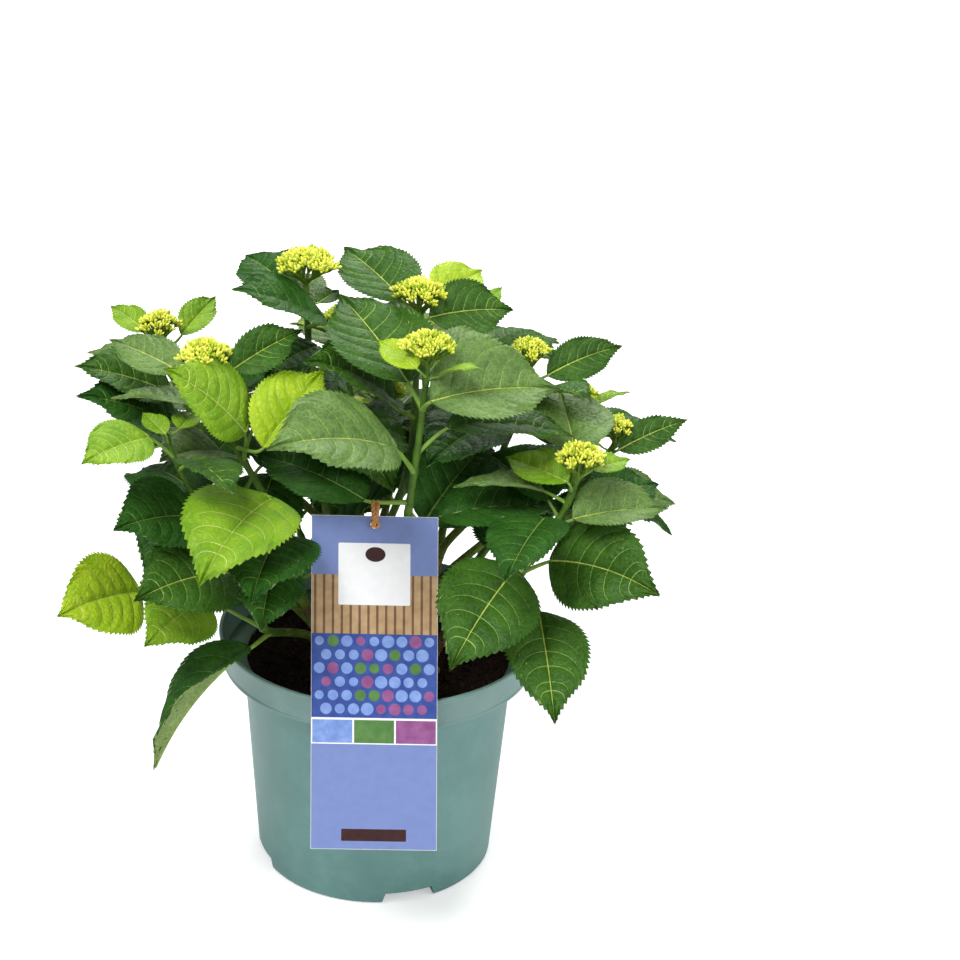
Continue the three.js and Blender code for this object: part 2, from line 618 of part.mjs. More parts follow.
function caneSolid(name, extra = 0) {
  const { steps } = CANE;
  const points = pathOf((t) => canePoint(name, t), steps);
  const radii = points.map((p, i) => {
    const high = p[2] - SOIL_TOP;
    const flare = 1 + (CANE.flare - 1) * Math.max(0, 1 - high / CANE.flareHeight) ** 2;
    return (CANE.foot + ((CANE.top - CANE.foot) * i) / steps) * flare + extra;
  });
  const cut = SOIL_TOP + CLEAR;
  const rise = [[points[0][0], points[0][1], cut - 3], ...points];
  const body = limb(rise, [radii[0], ...radii], CANE.sides, [null, caneHeading(name, 1)]);
  return extra ? body : body.trimByPlane([0, 0, 1], cut);
}

function boughSolid(name, extra = 0) {
  const { steps } = BOUGH;
  const radii = taper(BOUGH.foot, BOUGH.top, steps + 1).map((r) => r + extra);
  const [, stemStart] = stemPath(name);
  const [cane, fork] = SHOOTS[name];
  const headings = [fork === 1 ? caneHeading(cane, 1) : null, unit(stemStart)];
  return limb(pathOf((t) => boughPoint(name, t), steps), radii, BOUGH.sides, headings);
}

function foliageSolid(name, leaves) {
  const [, , , head, radius] = SHOOTS[name];
  const points = pathOf((t) => stemPoint(name, t), STEM.steps);
  const radii = taper(STEM.foot, radius ? STEM.top : STEM.leafyTop, STEM.steps + 1);
  const parts = [limb(points, radii, STEM.sides, [unit(stemPath(name)[1]), null])];
  if (radius) parts.push(clusterSolid(head, radius));
  for (const leaf of leaves.filter((l) => l.shoot === name)) parts.push(leafSolid(leaf));
  return whole(Manifold.union(parts));
}

// Pot: one turned wall and floor, with notches round the lower edge
const POT_SIDES = 48;
function turned(profile) {
  const outline = new wasm.CrossSection([profile]);
  return outline.revolve(POT_SIDES);
}

function potSolid() {
  const inner = BODY_TOP_RADIUS - WALL;
  const profile = [
    [0, 0], [BASE_RADIUS - 1.5, 0], [BASE_RADIUS, 1.8], [BODY_TOP_RADIUS, POT_HEIGHT - COLLAR_HEIGHT],
    [COLLAR_FOOT_RADIUS, POT_HEIGHT - COLLAR_HEIGHT], [RIM_RADIUS - 1, POT_HEIGHT - 3.2],
    [RIM_RADIUS, POT_HEIGHT - 2.4], [RIM_RADIUS, POT_HEIGHT - 0.6], [RIM_RADIUS - 0.8, POT_HEIGHT],
    [RIM_RADIUS - 3, POT_HEIGHT], [COLLAR_FOOT_RADIUS - 3, POT_HEIGHT - COLLAR_HEIGHT + WALL],
    [inner, POT_HEIGHT - COLLAR_HEIGHT + WALL], [BASE_RADIUS - WALL, FLOOR], [0, FLOOR],
  ];
  const body = turned(profile);
  const cutters = Array.from({ length: NOTCH.count }, (_, k) => {
    const half = NOTCH.width / 2;
    const top = half - NOTCH.slant;
    const face = new wasm.CrossSection([[[-half, -1], [half, -1], [top, NOTCH.height], [-top, NOTCH.height]]]);
    const block = face.extrude(30).rotate([90, 0, 0]);
    const placed = block.translate([0, -(BASE_RADIUS - NOTCH.depth), 0]);
    return placed.rotate([0, 0, NOTCH.first + (360 / NOTCH.count) * k]);
  });
  return body.subtract(Manifold.union(cutters));
}

// Inner radius of the pot's wall at a height, less the clearance
function soilRadius(z) {
  const ledge = POT_HEIGHT - COLLAR_HEIGHT + WALL;
  const share = (z - FLOOR) / (ledge - FLOOR);
  return BASE_RADIUS - WALL + (BODY_TOP_RADIUS - BASE_RADIUS) * share - CLEAR - 0.1;
}

function soilSolid() {
  const foot = FLOOR + CLEAR;
  const edge = SOIL_TOP - 2;
  const crown = soilRadius(edge) - 3;
  return turned([
    [0, foot], [soilRadius(foot), foot], [soilRadius(edge), edge], [crown, SOIL_TOP], [0, SOIL_TOP],
  ]);
}

function cardSolid() {
  const length = size(cardDown);
  const half = CARD.width / 2;
  const sheet = new wasm.CrossSection([[[-half, -length], [half, -length], [half, 0], [-half, 0]]]);
  const hole = wasm.CrossSection.circle(CARD.hole, 16).translate([0, -CARD.holeDrop]);
  const flat = sheet.subtract(hole).extrude(CARD.thick);
  const x = unit(cardSide);
  const y = mul(unit(cardDown), -1);
  const z = cross(x, y);
  const m = [...x, 0, ...y, 0, ...z, 0, ...CARD.top, 1];
  return flat.transform(m);
}

// Loop of cord through the card's hole and round a leaf stalk
function loopSolid() {
  const steps = 18;
  const sides = 6;
  const verts = [];
  const faces = [];
  const tilt = LOOP.lean * RAD;
  for (let i = 0; i < steps; i += 1) {
    const a = (2 * Math.PI * i) / steps;
    const y = LOOP.deep * Math.cos(a);
    const z = LOOP.high * Math.sin(a);
    const outY = LOOP.high * Math.cos(a);
    const outZ = LOOP.deep * Math.sin(a);
    const long = Math.hypot(outY, outZ);
    for (let k = 0; k < sides; k += 1) {
      const b = (2 * Math.PI * k) / sides;
      const r = LOOP.strand * Math.cos(b);
      const px = LOOP.strand * Math.sin(b);
      const py = y + (r * outY) / long;
      const pz = z + (r * outZ) / long;
      const turnedY = py * Math.cos(tilt) - pz * Math.sin(tilt);
      const turnedZ = py * Math.sin(tilt) + pz * Math.cos(tilt);
      verts.push(add(LOOP.centre, [px, turnedY, turnedZ]));
    }
  }
  for (let i = 0; i < steps; i += 1) {
    for (let k = 0; k < sides; k += 1) {
      const a = i * sides + k;
      const b = i * sides + ((k + 1) % sides);
      const c = ((i + 1) % steps) * sides + k;
      const d = ((i + 1) % steps) * sides + ((k + 1) % sides);
      faces.push([a, d, b], [a, c, d]);
    }
  }
  return solidFrom(verts, faces);
}

// Materials
const paint = (hex, roughness) => new THREE.MeshStandardMaterial({ color: hex, roughness });
const MATERIALS = {
  pot: paint(0x6e9691, 0.55),
  soil: paint(0x2d1f1a, 0.95),
  wood: paint(0x6b5a3c, 0.85),
  bough: paint(0x7c8b45, 0.7),
  foliage: paint(0x4f8a3a, 0.6),
  card: paint(0x7d8fc8, 0.5),
  cord: paint(0xb08a58, 0.8),
};

function meshOf(name, solid, material) {
  const m = solid.getMesh();
  const geometry = new THREE.BufferGeometry();
  const places = new Float32Array(m.numVert * 3);
  for (let i = 0; i < m.numVert; i += 1) {
    for (let k = 0; k < 3; k += 1) places[3 * i + k] = m.vertProperties[i * m.numProp + k];
  }
  geometry.setAttribute("position", new THREE.BufferAttribute(places, 3));
  geometry.setIndex(new THREE.BufferAttribute(new Uint32Array(m.triVerts), 1));
  const flat = geometry.toNonIndexed();
  flat.computeVertexNormals();
  const mesh = new THREE.Mesh(flat, material);
  mesh.name = name;
  return mesh;
}

const shrub = new THREE.Group();
shrub.name = "potted_shrub";
const put = (name, solid, material) => shrub.add(meshOf(name, solid, material));

put("pot", potSolid(), MATERIALS.pot);
put("soil", soilSolid(), MATERIALS.soil);
for (const name of Object.keys(CANES)) put("cane_" + name, caneSolid(name), MATERIALS.wood);
const standing = Object.keys(CANES).map((name) => caneSolid(name, CLEAR));
for (const name of Object.keys(SHOOTS)) {
  const body = whole(boughSolid(name).subtract(Manifold.union(standing)));
  put("bough_" + name, body, MATERIALS.bough);
  standing.push(boughSolid(name, CLEAR));
}
const leaves = growLeaves();
for (const name of Object.keys(SHOOTS)) put("foliage_" + name, foliageSolid(name, leaves), MATERIALS.foliage);
put("tag_card", cardSolid(), MATERIALS.card);
put("tag_loop", loopSolid(), MATERIALS.cord);

export default shrub;
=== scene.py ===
"""Looks of a potted garden shrub: toothed leaves, closed bud clusters, a nursery pot and a hanging card.

The plant's sizes are in millimetres, as in the part's source, and each mesh is made in metres.
"""

import math
from dataclasses import dataclass, replace
from itertools import product

import bmesh
import bpy
import numpy as np
from mathutils import Matrix, Vector


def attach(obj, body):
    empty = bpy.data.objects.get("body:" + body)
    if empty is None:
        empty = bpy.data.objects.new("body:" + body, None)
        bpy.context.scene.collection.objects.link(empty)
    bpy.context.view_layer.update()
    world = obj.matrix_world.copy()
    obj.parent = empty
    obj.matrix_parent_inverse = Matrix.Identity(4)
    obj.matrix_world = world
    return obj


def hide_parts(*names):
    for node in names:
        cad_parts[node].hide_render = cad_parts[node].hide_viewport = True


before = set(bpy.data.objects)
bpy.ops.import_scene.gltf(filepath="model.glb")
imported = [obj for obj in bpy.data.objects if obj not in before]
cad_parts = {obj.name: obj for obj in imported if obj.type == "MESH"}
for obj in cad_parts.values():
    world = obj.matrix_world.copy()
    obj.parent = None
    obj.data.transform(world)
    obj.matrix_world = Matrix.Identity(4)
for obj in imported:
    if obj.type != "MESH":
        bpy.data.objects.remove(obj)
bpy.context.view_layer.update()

MM = 0.001
TINY = 1e-9
NEARLY_ALONG = 0.9

# Camera, fitted to the rim, collar and foot of the pot
LENS = 90
SENSOR = 36
CAMERA_AT = (0, -1536, 990)
CAMERA_PITCH = 24.25
CAMERA_YAW = 2.55
CAMERA_ROLL = 2.33

# Pot, soil and card
POT_HEIGHT = 180
RIM_RADIUS = 115
COLLAR_HEIGHT = 22.5
COLLAR_FOOT_RADIUS = 112.3
BODY_TOP_RADIUS = 97.5
BASE_RADIUS = 86
WALL = 2.2
FLOOR = 11
NOTCH_FIRST = -72.5
NOTCH_WIDTH = 40
NOTCH_HEIGHT = 8.5
NOTCH_DEPTH = 13
NOTCH_SLANT = 2.5
SOIL_TOP = 157
CLEAR = 0.3
CARD_WIDTH = 85.5
CARD_THICK = 1
CARD_TOP = np.array([-4.5, -66.3, 298.9])
CARD_FOOT = np.array([-0.5, -152.3, 89.1])
HOLE_RADIUS = 3
HOLE_DROP = 5.5
LOOP_CENTRE = np.array([-4.4, -64.7, 303.9])
LOOP_HIGH = 9.05
LOOP_DEEP = 7.6
LOOP_LEAN = -20

# Woody canes: foot on the soil and top
CANE_RISE = 50
CANES = {
    "front": ((4, -28), (9, -48, 212)),
    "middle": ((-20, 6), (-26, 14, 222)),
    "left": ((-34, -24), (-52, -34, 214)),
    "right": ((36, -22), (56, -38, 210)),
    "right_rear": ((26, 18), (42, 32, 220)),
    "back": ((-6, 34), (-14, 58, 216)),
}

# Shoots: cane, height of the fork on the cane (1 = its tip), foot of the leafy part,
# centre of the bud cluster, cluster radius (0 = leafy tip), bearing of the lowest leaf pair
SHOOTS = {
    "front": ("front", 1, (14, -58, 262), (27.7, -70, 425), 19, 0),
    "middle": ("middle", 1, (6, 8, 262), (22.7, 15, 431.5), 20, 40),
    "crown": ("middle", 0.66, (-40, 24, 262), (-55.8, 30, 445), 23, 20),
    "left_front": ("left", 1, (-58, -42, 250), (-120, -50, 408), 18.5, 80),
    "left_back": ("left", 0.78, (-92, 10, 262), (-158, 40, 394), 15, 60),
    "left_low": ("left", 0.58, (-92, -46, 250), (-144.5, -70, 362), 0, 30),
    "left_skirt": ("left", 0.38, (-72, -60, 205), (-88, -84, 250), 0, 10),
    "right_back": ("right_rear", 1, (66, 24, 262), (101, 30, 385), 14.5, 50),
    "right_front": ("right", 1, (92, -60, 250), (131, -75, 350), 17, 70),
    "right_far": ("right", 0.66, (98, -6, 250), (161, -10, 346), 10, 20),
    "back_top": ("back", 1, (-18, 92, 258), (-30, 132, 368), 19, 30),
    "back_left": ("back", 0.76, (-66, 76, 250), (-112, 112, 322), 17, 75),
    "back_right": ("right_rear", 0.76, (50, 78, 262), (62, 112, 390), 19, 60),
    "right_rear": ("right_rear", 0.52, (104, 52, 254), (140, 84, 330), 17, 15),
    "back_low": ("back", 0.52, (6, 110, 240), (0, 150, 305), 16, 45),
    "back_skirt": ("back", 0.3, (-50, 74, 202), (-68, 98, 244), 0, 35),
    "rear_skirt": ("right_rear", 0.32, (70, 62, 202), (90, 84, 244), 0, 80),
}

# Leaf blade outline, and the rows that the clearance tests use
HALF_WIDTH = 0.36
BASE_POWER = 0.62
TIP_POWER = 1.15
TEST_ROWS = np.array([0, 0.12, 0.35, 0.62, 0.85, 1])

# Leaves with their own pose. Columns: shoot, place along the shoot, bearing of the stalk, its lift and
# length, heading of the blade, its rise, bend and length, roll, twist, fold, tone
POSED = (
    ("front", 0.46, -130, 50, 30, -145, 30, -35, 106, 25, 0, 12, "grey"),
    ("front", 0.25, 55, -40, 24, 60, 18, -20, 104, -35, 0, 10, "dark"),
    ("front", 0.78, 140, 50, 20, 120, 25, -15, 102, 5, 0, 10, "mid"),
    ("front", 0.78, -70, 40, 16, 22, 10, -25, 96, -32, 0, 22, "grey"),
    ("front", 0.93, -120, 40, 16, 130, 15, -10, 42, 20, 0, 15, "lime"),
    ("front", 0.93, 70, 5, 32, 45, 5, -10, 58, -15, 0, 12, "grey"),
    ("front", 0.3, 183, 3, 30, 150, 20, -25, 92, 10, 0, 10, "dark"),
    ("middle", 0.5, -125, 35, 32, -145, 52, -40, 90, 35, 0, 25, "mid"),
    ("middle", 0.88, 130, 55, 24, 125, 20, -15, 80, 10, 0, 12, "mid"),
    ("middle", 0.88, -50, 55, 20, 25, 7, -20, 66, -45, 0, 15, "mid"),
    ("middle", 0.96, 45, 30, 18, 55, 10, -10, 60, -30, 0, 12, "lime"),
    ("crown", 0.8, -60, 30, 28, -148, 35, -20, 80, 18, 0, 10, "dark"),
    ("crown", 0.92, -35, -5, 10, 60, 7, -10, 28, -20, 0, 15, "mid"),
    ("crown", 0.9, 125, 10, 22, 120, 10, -15, 70, 15, 0, 10, "dark"),
    ("crown", 0.58, -55, 70, 28, -125, 10, -30, 62, 15, 0, 10, "dark"),
    ("left_front", 0.36, -75, 20, 26, -115, 10, -45, 106, 10, 0, 10, "light"),
    ("left_front", 0.55, -83, 58, 33, 201, 57, -28, 78, 44, 0, 10, "light"),
    ("left_front", 0.62, -55, 20, 36, 55, 35, -15, 76, -20, 0, 28, "lime"),
    ("left_front", 0.88, 5, 55, 22, 35, 25, -15, 60, -50, 0, 25, "mid"),
    ("left_front", 0.88, 160, 30, 26, 145, 15, -15, 64, 20, 0, 10, "grey"),
    ("left_back", 0.92, 165, 50, 20, 130, 15, -15, 46, 25, 0, 15, "light"),
    ("left_back", 0.92, 25, 45, 18, 65, 20, -10, 52, -25, 0, 25, "light"),
    ("left_back", 0.7, -110, 25, 18, -160, 32, -20, 74, 25, 0, 12, "mid"),
    ("left_back", 0.48, -125, 25, 26, -155, 40, -30, 84, 25, 0, 10, "dark"),
    ("left_back", 0.3, -80, 30, 34, -123, 34, -35, 78, 15, 0, 18, "grey"),
    ("left_low", 0.85, -150, 45, 24, -130, 10, -20, 62, 25, 0, 10, "light"),
    ("left_low", 0.93, -100, 55, 12, 127, 15, -10, 30, 10, 0, 15, "light"),
    ("left_low", 0.97, 25, 30, 10, 75, 2, -10, 34, -10, 0, 15, "light"),
    ("left_low", 0.35, -165, 35, 10, -130, 25, -25, 84, 38, 0, 10, "dark"),
    ("left_low", 0.04, 180, -20, 76, -125, 20, -20, 86, 50, 0, 10, "lime"),
    ("left_skirt", 0.6, -170, 65, 38, -135, 20, -30, 88, 38, 0, 10, "mid"),
    ("left_skirt", 0.3, 175, 25, 44, -120, 10, -25, 74, 35, 0, 10, "light"),
    ("left_skirt", 0.95, -15, 60, 34, -95, 0, -30, 70, 15, 0, 10, "dark"),
    ("left_skirt", 0.9, 25, 10, 62, 175, -63, -30, 60, 10, 0, 10, "dark"),
    ("left_skirt", 0.1, -117, 2, 28, -142, -18, -47, 108, 6, -68, 30, "dark"),
    ("right_front", 0.1, -110, 25, 20, -120, -10, -25, 98, 25, 0, 10, "mid"),
    ("right_front", 0.02, -50, -35, 30, -85, -10, -25, 98, 0, 0, 10, "mid"),
    ("right_front", 0.06, -10, 30, 24, -40, 20, -35, 94, -50, 0, 10, "mid"),
    ("right_front", 0.55, -45, 35, 18, 20, 8, -20, 72, -20, 0, 25, "grey"),
    ("right_front", 0.6, 35, 15, 30, 40, 5, -20, 66, -20, 0, 10, "dark"),
    ("right_front", 0.85, -120, 55, 12, 137, 6, -10, 56, 20, 0, 18, "light"),
    ("right_front", 0.95, 15, 30, 12, 35, 5, -10, 34, -20, 0, 15, "light"),
    ("right_front", 0.8, 80, 45, 34, 95, 15, -15, 86, 0, 0, 8, "grey"),
    ("right_front", 0.62, 145, 50, 14, 105, 15, -10, 62, 10, 0, 10, "dark"),
    ("right_far", 0.9, -45, 35, 10, 20, 25, -15, 56, -52, 0, 12, "mid"),
    ("right_far", 0.6, -55, 15, 22, 38, 1, -15, 66, -25, 0, 10, "grey"),
    ("right_back", 0.88, -15, 30, 18, 30, 20, -20, 66, -48, 0, 12, "mid"),
    ("right_front", 0.08, 75, 15, 18, 105, 20, -20, 80, 20, 0, 10, "dark"),
    ("right_back", 0.4, -120, 20, 16, -60, 0, -25, 78, -20, 0, 10, "dark"),
)

# Other leaves stand in crossed pairs. Rungs: place along the shoot, leaf length, rise, tones of the pair
RUNGS = (
    (0.1, 96, 0, ("dark", "dark")),
    (0.33, 92, 0, ("dark", "mid")),
    (0.56, 82, 5, ("mid", "dark")),
    (0.76, 64, 15, ("grey", "mid")),
    (0.92, 36, 35, ("light", "lime")),
)
SHORT_LEAVED = {"right_far": 0.75, "left_skirt": 0.75}
SKIRTS = ("left_skirt", "back_skirt", "rear_skirt")
SKIRT_RUNGS = 3

# Pairs that miss a leaf: shoot, rung and side
BARE = (
    ("front", 1, 1),
    ("left_skirt", 1, 1),
    ("left_low", 2, 1),
    ("right_front", 3, 1),
    ("right_back", 2, 0),
)

# Pose of a leaf of a pair, and how widely chance spreads it
PAIR_LIFT = 35
PAIR_BEND = -30
PAIR_FOLD = 11
PAIR_STALK = 0.3
BEARING_SPREAD = 24
LENGTH_LEAST = 0.9
LENGTH_SPREAD = 0.2
LIFT_SPREAD = 15
HEADING_SPREAD = 20
RISE_SPREAD = 14
ROLL_SPREAD = 24
SAME_RUNG = 0.12
SAME_SIDE = 60
SEED = 20

# Turns that a leaf tries until it stands clear: of its rise, and of its heading
POSE_TRIES = ((0, 0), (8, 0), (-8, 0), (0, 12), (0, -12), (14, 12), (14, -12), (-14, 12), (-14, -12))
FREE_TRIES = POSE_TRIES + ((20, 0), (-20, 0), (0, 28), (0, -28), (24, 25), (24, -25), (-24, 25), (-24, -25))


# Paths of the limbs
STEM_UPRIGHT = 0.8
STEM_END_BELOW_CLUSTER = 12
STEM_END_BELOW_TIP = 4
BOUGH_AWAY = 1.2


def unit(a):
    a = np.asarray(a, float)
    return a / np.linalg.norm(a, axis=-1, keepdims=True)


def between(a, b, t):
    return a + (b - a) * t


def shares(steps):
    """Even steps from 0 to 1."""
    return np.arange(steps + 1) / steps


def aim(bearing, pitch):
    """Direction of a bearing from +X and of a pitch above the level, in degrees."""
    b, p = np.radians(bearing), np.radians(pitch)
    return np.stack([np.cos(p) * np.cos(b), np.cos(p) * np.sin(b), np.sin(p) + 0 * b], axis=-1)


def hermite(p0, m0, p1, m1, t):
    """Points of the curve that leaves p0 along m0 and comes to p1 along m1."""
    t = np.asarray(t, float)[..., None]
    a = 2 * t**3 - 3 * t**2 + 1
    b = t**3 - 2 * t**2 + t
    c = -2 * t**3 + 3 * t**2
    d = t**3 - t**2
    return a * p0 + b * m0 + c * p1 + d * m1


def cane_point(name, t):
    root, top = CANES[name]
    foot = np.array([root[0], root[1], SOIL_TOP + CLEAR])
    top = np.array(top, float)
    return hermite(foot, np.array([0, 0, CANE_RISE]), top, unit(top - foot) * CANE_RISE, t)


def cane_heading(name, t):
    return unit(cane_point(name, t) - cane_point(name, t - 0.1))


def stem_path(name):
    cane, _, foot, head, radius, _ = SHOOTS[name]
    top, foot, head = (np.array(p, float) for p in (CANES[cane][1], foot, head))
    length = np.linalg.norm(head - foot)
    start = unit(unit(foot - top) + unit(head - foot)) * length
    finish = unit(unit(head - foot) + np.array([0, 0, STEM_UPRIGHT])) * length
    end = head - np.array([0, 0, STEM_END_BELOW_CLUSTER if radius else STEM_END_BELOW_TIP])
    return foot, start, end, finish


def stem_point(name, t):
    return hermite(*stem_path(name), t)


def bough_point(name, t):
    cane, fork, foot = SHOOTS[name][:3]
    stem_start = unit(stem_path(name)[1])
    along = cane_heading(cane, fork)
    start = cane_point(cane, fork) + (along * CLEAR if fork == 1 else 0)
    end = np.array(foot, float) - stem_start * CLEAR
    length = np.linalg.norm(end - start)
    away = along if fork == 1 else unit(along + unit(end - start) * BOUGH_AWAY)
    return hermite(start, away * length, end, stem_start * length, t)


def path_of(point, name, steps):
    return point(name, shares(steps))


# Leaf surface: t runs from stalk to tip, x from -1 to 1 across
@dataclass(frozen=True)
class Leaf:
    shoot: str
    at: float
    bearing: float
    lift: float
    stalk: float
    heading: float
    rise: float
    bend: float
    long: float
    roll: float
    twist: float
    fold: float
    tone: str
    posed: bool

    @property
    def root(self):
        return stem_point(self.shoot, self.at)

    @property
    def base(self):
        return self.root + aim(self.bearing, self.lift) * self.stalk


PEAK = BASE_POWER / (BASE_POWER + TIP_POWER)
PEAK_VALUE = PEAK**BASE_POWER * (1 - PEAK) ** TIP_POWER


def half_width(leaf, t):
    """Half width of the plain blade that the clearance tests use."""
    return HALF_WIDTH * leaf.long * t**BASE_POWER * (1 - t) ** TIP_POWER / PEAK_VALUE


def midrib(leaf, t):
    """Points of the midrib, an arc that starts at the leaf's rise and turns by its bend."""
    start, bend = math.radians(leaf.rise), math.radians(leaf.bend)
    out = (np.sin(start + bend * t) - math.sin(start)) / bend * leaf.long
    up = -(np.cos(start + bend * t) - math.cos(start)) / bend * leaf.long
    h = math.radians(leaf.heading)
    return leaf.base + np.stack([out * math.cos(h), out * math.sin(h), up], axis=-1)


def blade_frame(leaf, t):
    """Directions across the blade and out of its face."""
    t = np.asarray(t, float)
    ahead = aim(leaf.heading + 0 * t, leaf.rise + leaf.bend * t)
    h = math.radians(leaf.heading)
    flat = np.array([math.sin(h), -math.cos(h), 0])
    over = np.cross(flat, ahead)
    roll = np.radians(leaf.roll + leaf.twist * t)[..., None]
    side = flat * np.cos(roll) + over * np.sin(roll)
    normal = over * np.cos(roll) - flat * np.sin(roll)
    return side, normal


def blade_point(leaf, t, x):
    t, x = np.broadcast_arrays(np.asarray(t, float), np.asarray(x, float))
    side, normal = blade_frame(leaf, t)
    w = half_width(leaf, t)
    fold = math.radians(leaf.fold)
    across = side * (w * x * math.cos(fold))[..., None]
    lift = normal * (w * np.abs(x) * math.sin(fold))[..., None]
    return midrib(leaf, t) + across + lift


# Clearance of one leaf from what already stands
POSED_GAP = 1.2
FREE_GAP = 2.5
LIMB_GAP = 2.2
STALK_GAP = 2.2
SKIN_GAP = 0.8
SOIL_GAP = 3
POT_GAP = 4
RIM_BAND = 12
CARD_SIDE_GAP = 0.06
CARD_END_GAP = 0.03
CARD_FACE_GAP = 5
LOOP_GAP = 3.5
HEAD_GAP = 1.5
HEAD_HALF_HEIGHT = 10
OWN_HEAD_FREE = 6
OWN_STEM_FREE = 8
LEAF_REACH = 1.1
HEAD_SLACK = 10
LIMB_SLACK = 5
STALK_THICK = 2
STALK_RADIUS = 1.4
STALK_SAMPLES = np.array([0.2, 0.3, 0.4, 0.5, 0.6, 0.7, 0.8, 0.9, 1])
SAMPLE_ROWS = np.array([0.06, 0.2, 0.35, 0.5, 0.65, 0.8, 0.92, 1])
SAMPLE_COLUMNS = np.array([-1, -0.5, 0, 0.5, 1])


def blade_grid(leaf):
    return blade_point(leaf, TEST_ROWS[:, None], np.array([-1.0, 0, 1])[None, :])


def blade_lines(leaf):
    """Lines along and across the blade, and the same lines above and below it."""
    g = blade_grid(leaf)
    lines = []
    for i in range(len(g) - 1):
        lines += [(g[i][j], g[i + 1][j]) for j in range(3)]
        lines += [(g[i][0], g[i + 1][1]), (g[i][2], g[i + 1][1])]
    for i in range(1, len(g) - 1):
        lines += [(g[i][0], g[i][1]), (g[i][1], g[i][2])]
    lines = np.array(lines)
    lift = blade_frame(leaf, 0.5)[1] * (POSED_GAP if leaf.posed else FREE_GAP)
    return np.concatenate([lines, lines + lift, lines - lift])


def blade_faces(leaf):
    g = blade_grid(leaf)
    faces = []
    for i in range(len(g) - 1):
        for j in range(2):
            a, b, c, d = g[i][j], g[i][j + 1], g[i + 1][j], g[i + 1][j + 1]
            faces += [(a, b, d), (a, d, c)]
    return np.array(faces)


def any_meets(lines, faces):
    """Whether any of the line pieces goes through any of the triangles."""
    if not len(lines) or not len(faces):
        return False
    low, high = lines.min(axis=(0, 1)), lines.max(axis=(0, 1))
    faces = faces[((faces.min(1) <= high) & (faces.max(1) >= low)).all(1)]
    if not len(faces):
        return False
    low, high = faces.min(axis=(0, 1)), faces.max(axis=(0, 1))
    lines = lines[((lines.min(1) <= high) & (lines.max(1) >= low)).all(1)]
    p, d = lines[:, None, 0], lines[:, None, 1] - lines[:, None, 0]
    a = faces[None, :, 0]
    e1, e2 = faces[None, :, 1] - a, faces[None, :, 2] - a
    h = np.cross(d, e2)
    det = (e1 * h).sum(-1)
    safe = np.where(np.abs(det) < TINY, 1, det)
    s = p - a
    u = (s * h).sum(-1) / safe
    r = np.cross(s, e1)
    v = (d * r).sum(-1) / safe
    t = (e2 * r).sum(-1) / safe
    hit = (np.abs(det) >= TINY) & (u >= 0) & (v >= 0) & (u + v <= 1) & (t >= 0) & (t <= 1)
    return bool(hit.any())


def line_distance(points, a, b):
    """Distance of each point from the line piece a to b."""
    ab = b - a
    t = np.clip(((points - a) @ ab) / max(ab @ ab, TINY), 0, 1)
    return np.linalg.norm(points - (a + t[:, None] * ab), axis=1)


def limb_lines(a, b, radius):
    """Axis of a limb piece and four lines along its skin."""
    along = unit(b - a)
    x = unit(np.cross(along, (0, 0, 1) if abs(along[2]) < NEARLY_ALONG else (1, 0, 0))) * radius
    y = np.cross(along, x)
    return np.array([(a + s, b + s) for s in (0 * x, x, y, -x, -y)])


def near_pot(p):
    """Which points are in or too close to the pot, its soil or the ground."""
    r = np.hypot(p[:, 0], p[:, 1])
    z = p[:, 2]
    over_soil = (z < SOIL_TOP + SOIL_GAP) & (r < RIM_RADIUS - SOIL_GAP)
    at_rim = (r > RIM_RADIUS - RIM_BAND) & (r < RIM_RADIUS + POT_GAP) & (z < POT_HEIGHT + POT_GAP)
    in_body = (z < SOIL_TOP) & (r < BODY_TOP_RADIUS + POT_GAP)
    return over_soil | at_rim | in_body | (z < POT_GAP)


CARD_SIDE = np.array([CARD_WIDTH, 0, 0])
CARD_DOWN = CARD_FOOT - CARD_TOP
CARD_BACK = unit(np.cross(CARD_SIDE, CARD_DOWN))


def near_card(p):
    """Which points are too close to the card."""
    d = p - (CARD_TOP - CARD_SIDE * 0.5)
    a = d @ CARD_SIDE / (CARD_SIDE @ CARD_SIDE)
    b = d @ CARD_DOWN / (CARD_DOWN @ CARD_DOWN)
    beside = (a > -CARD_SIDE_GAP) & (a < 1 + CARD_SIDE_GAP) & (b > -CARD_END_GAP) & (b < 1 + CARD_END_GAP)
    return beside & (np.abs(d @ CARD_BACK) < CARD_FACE_GAP)


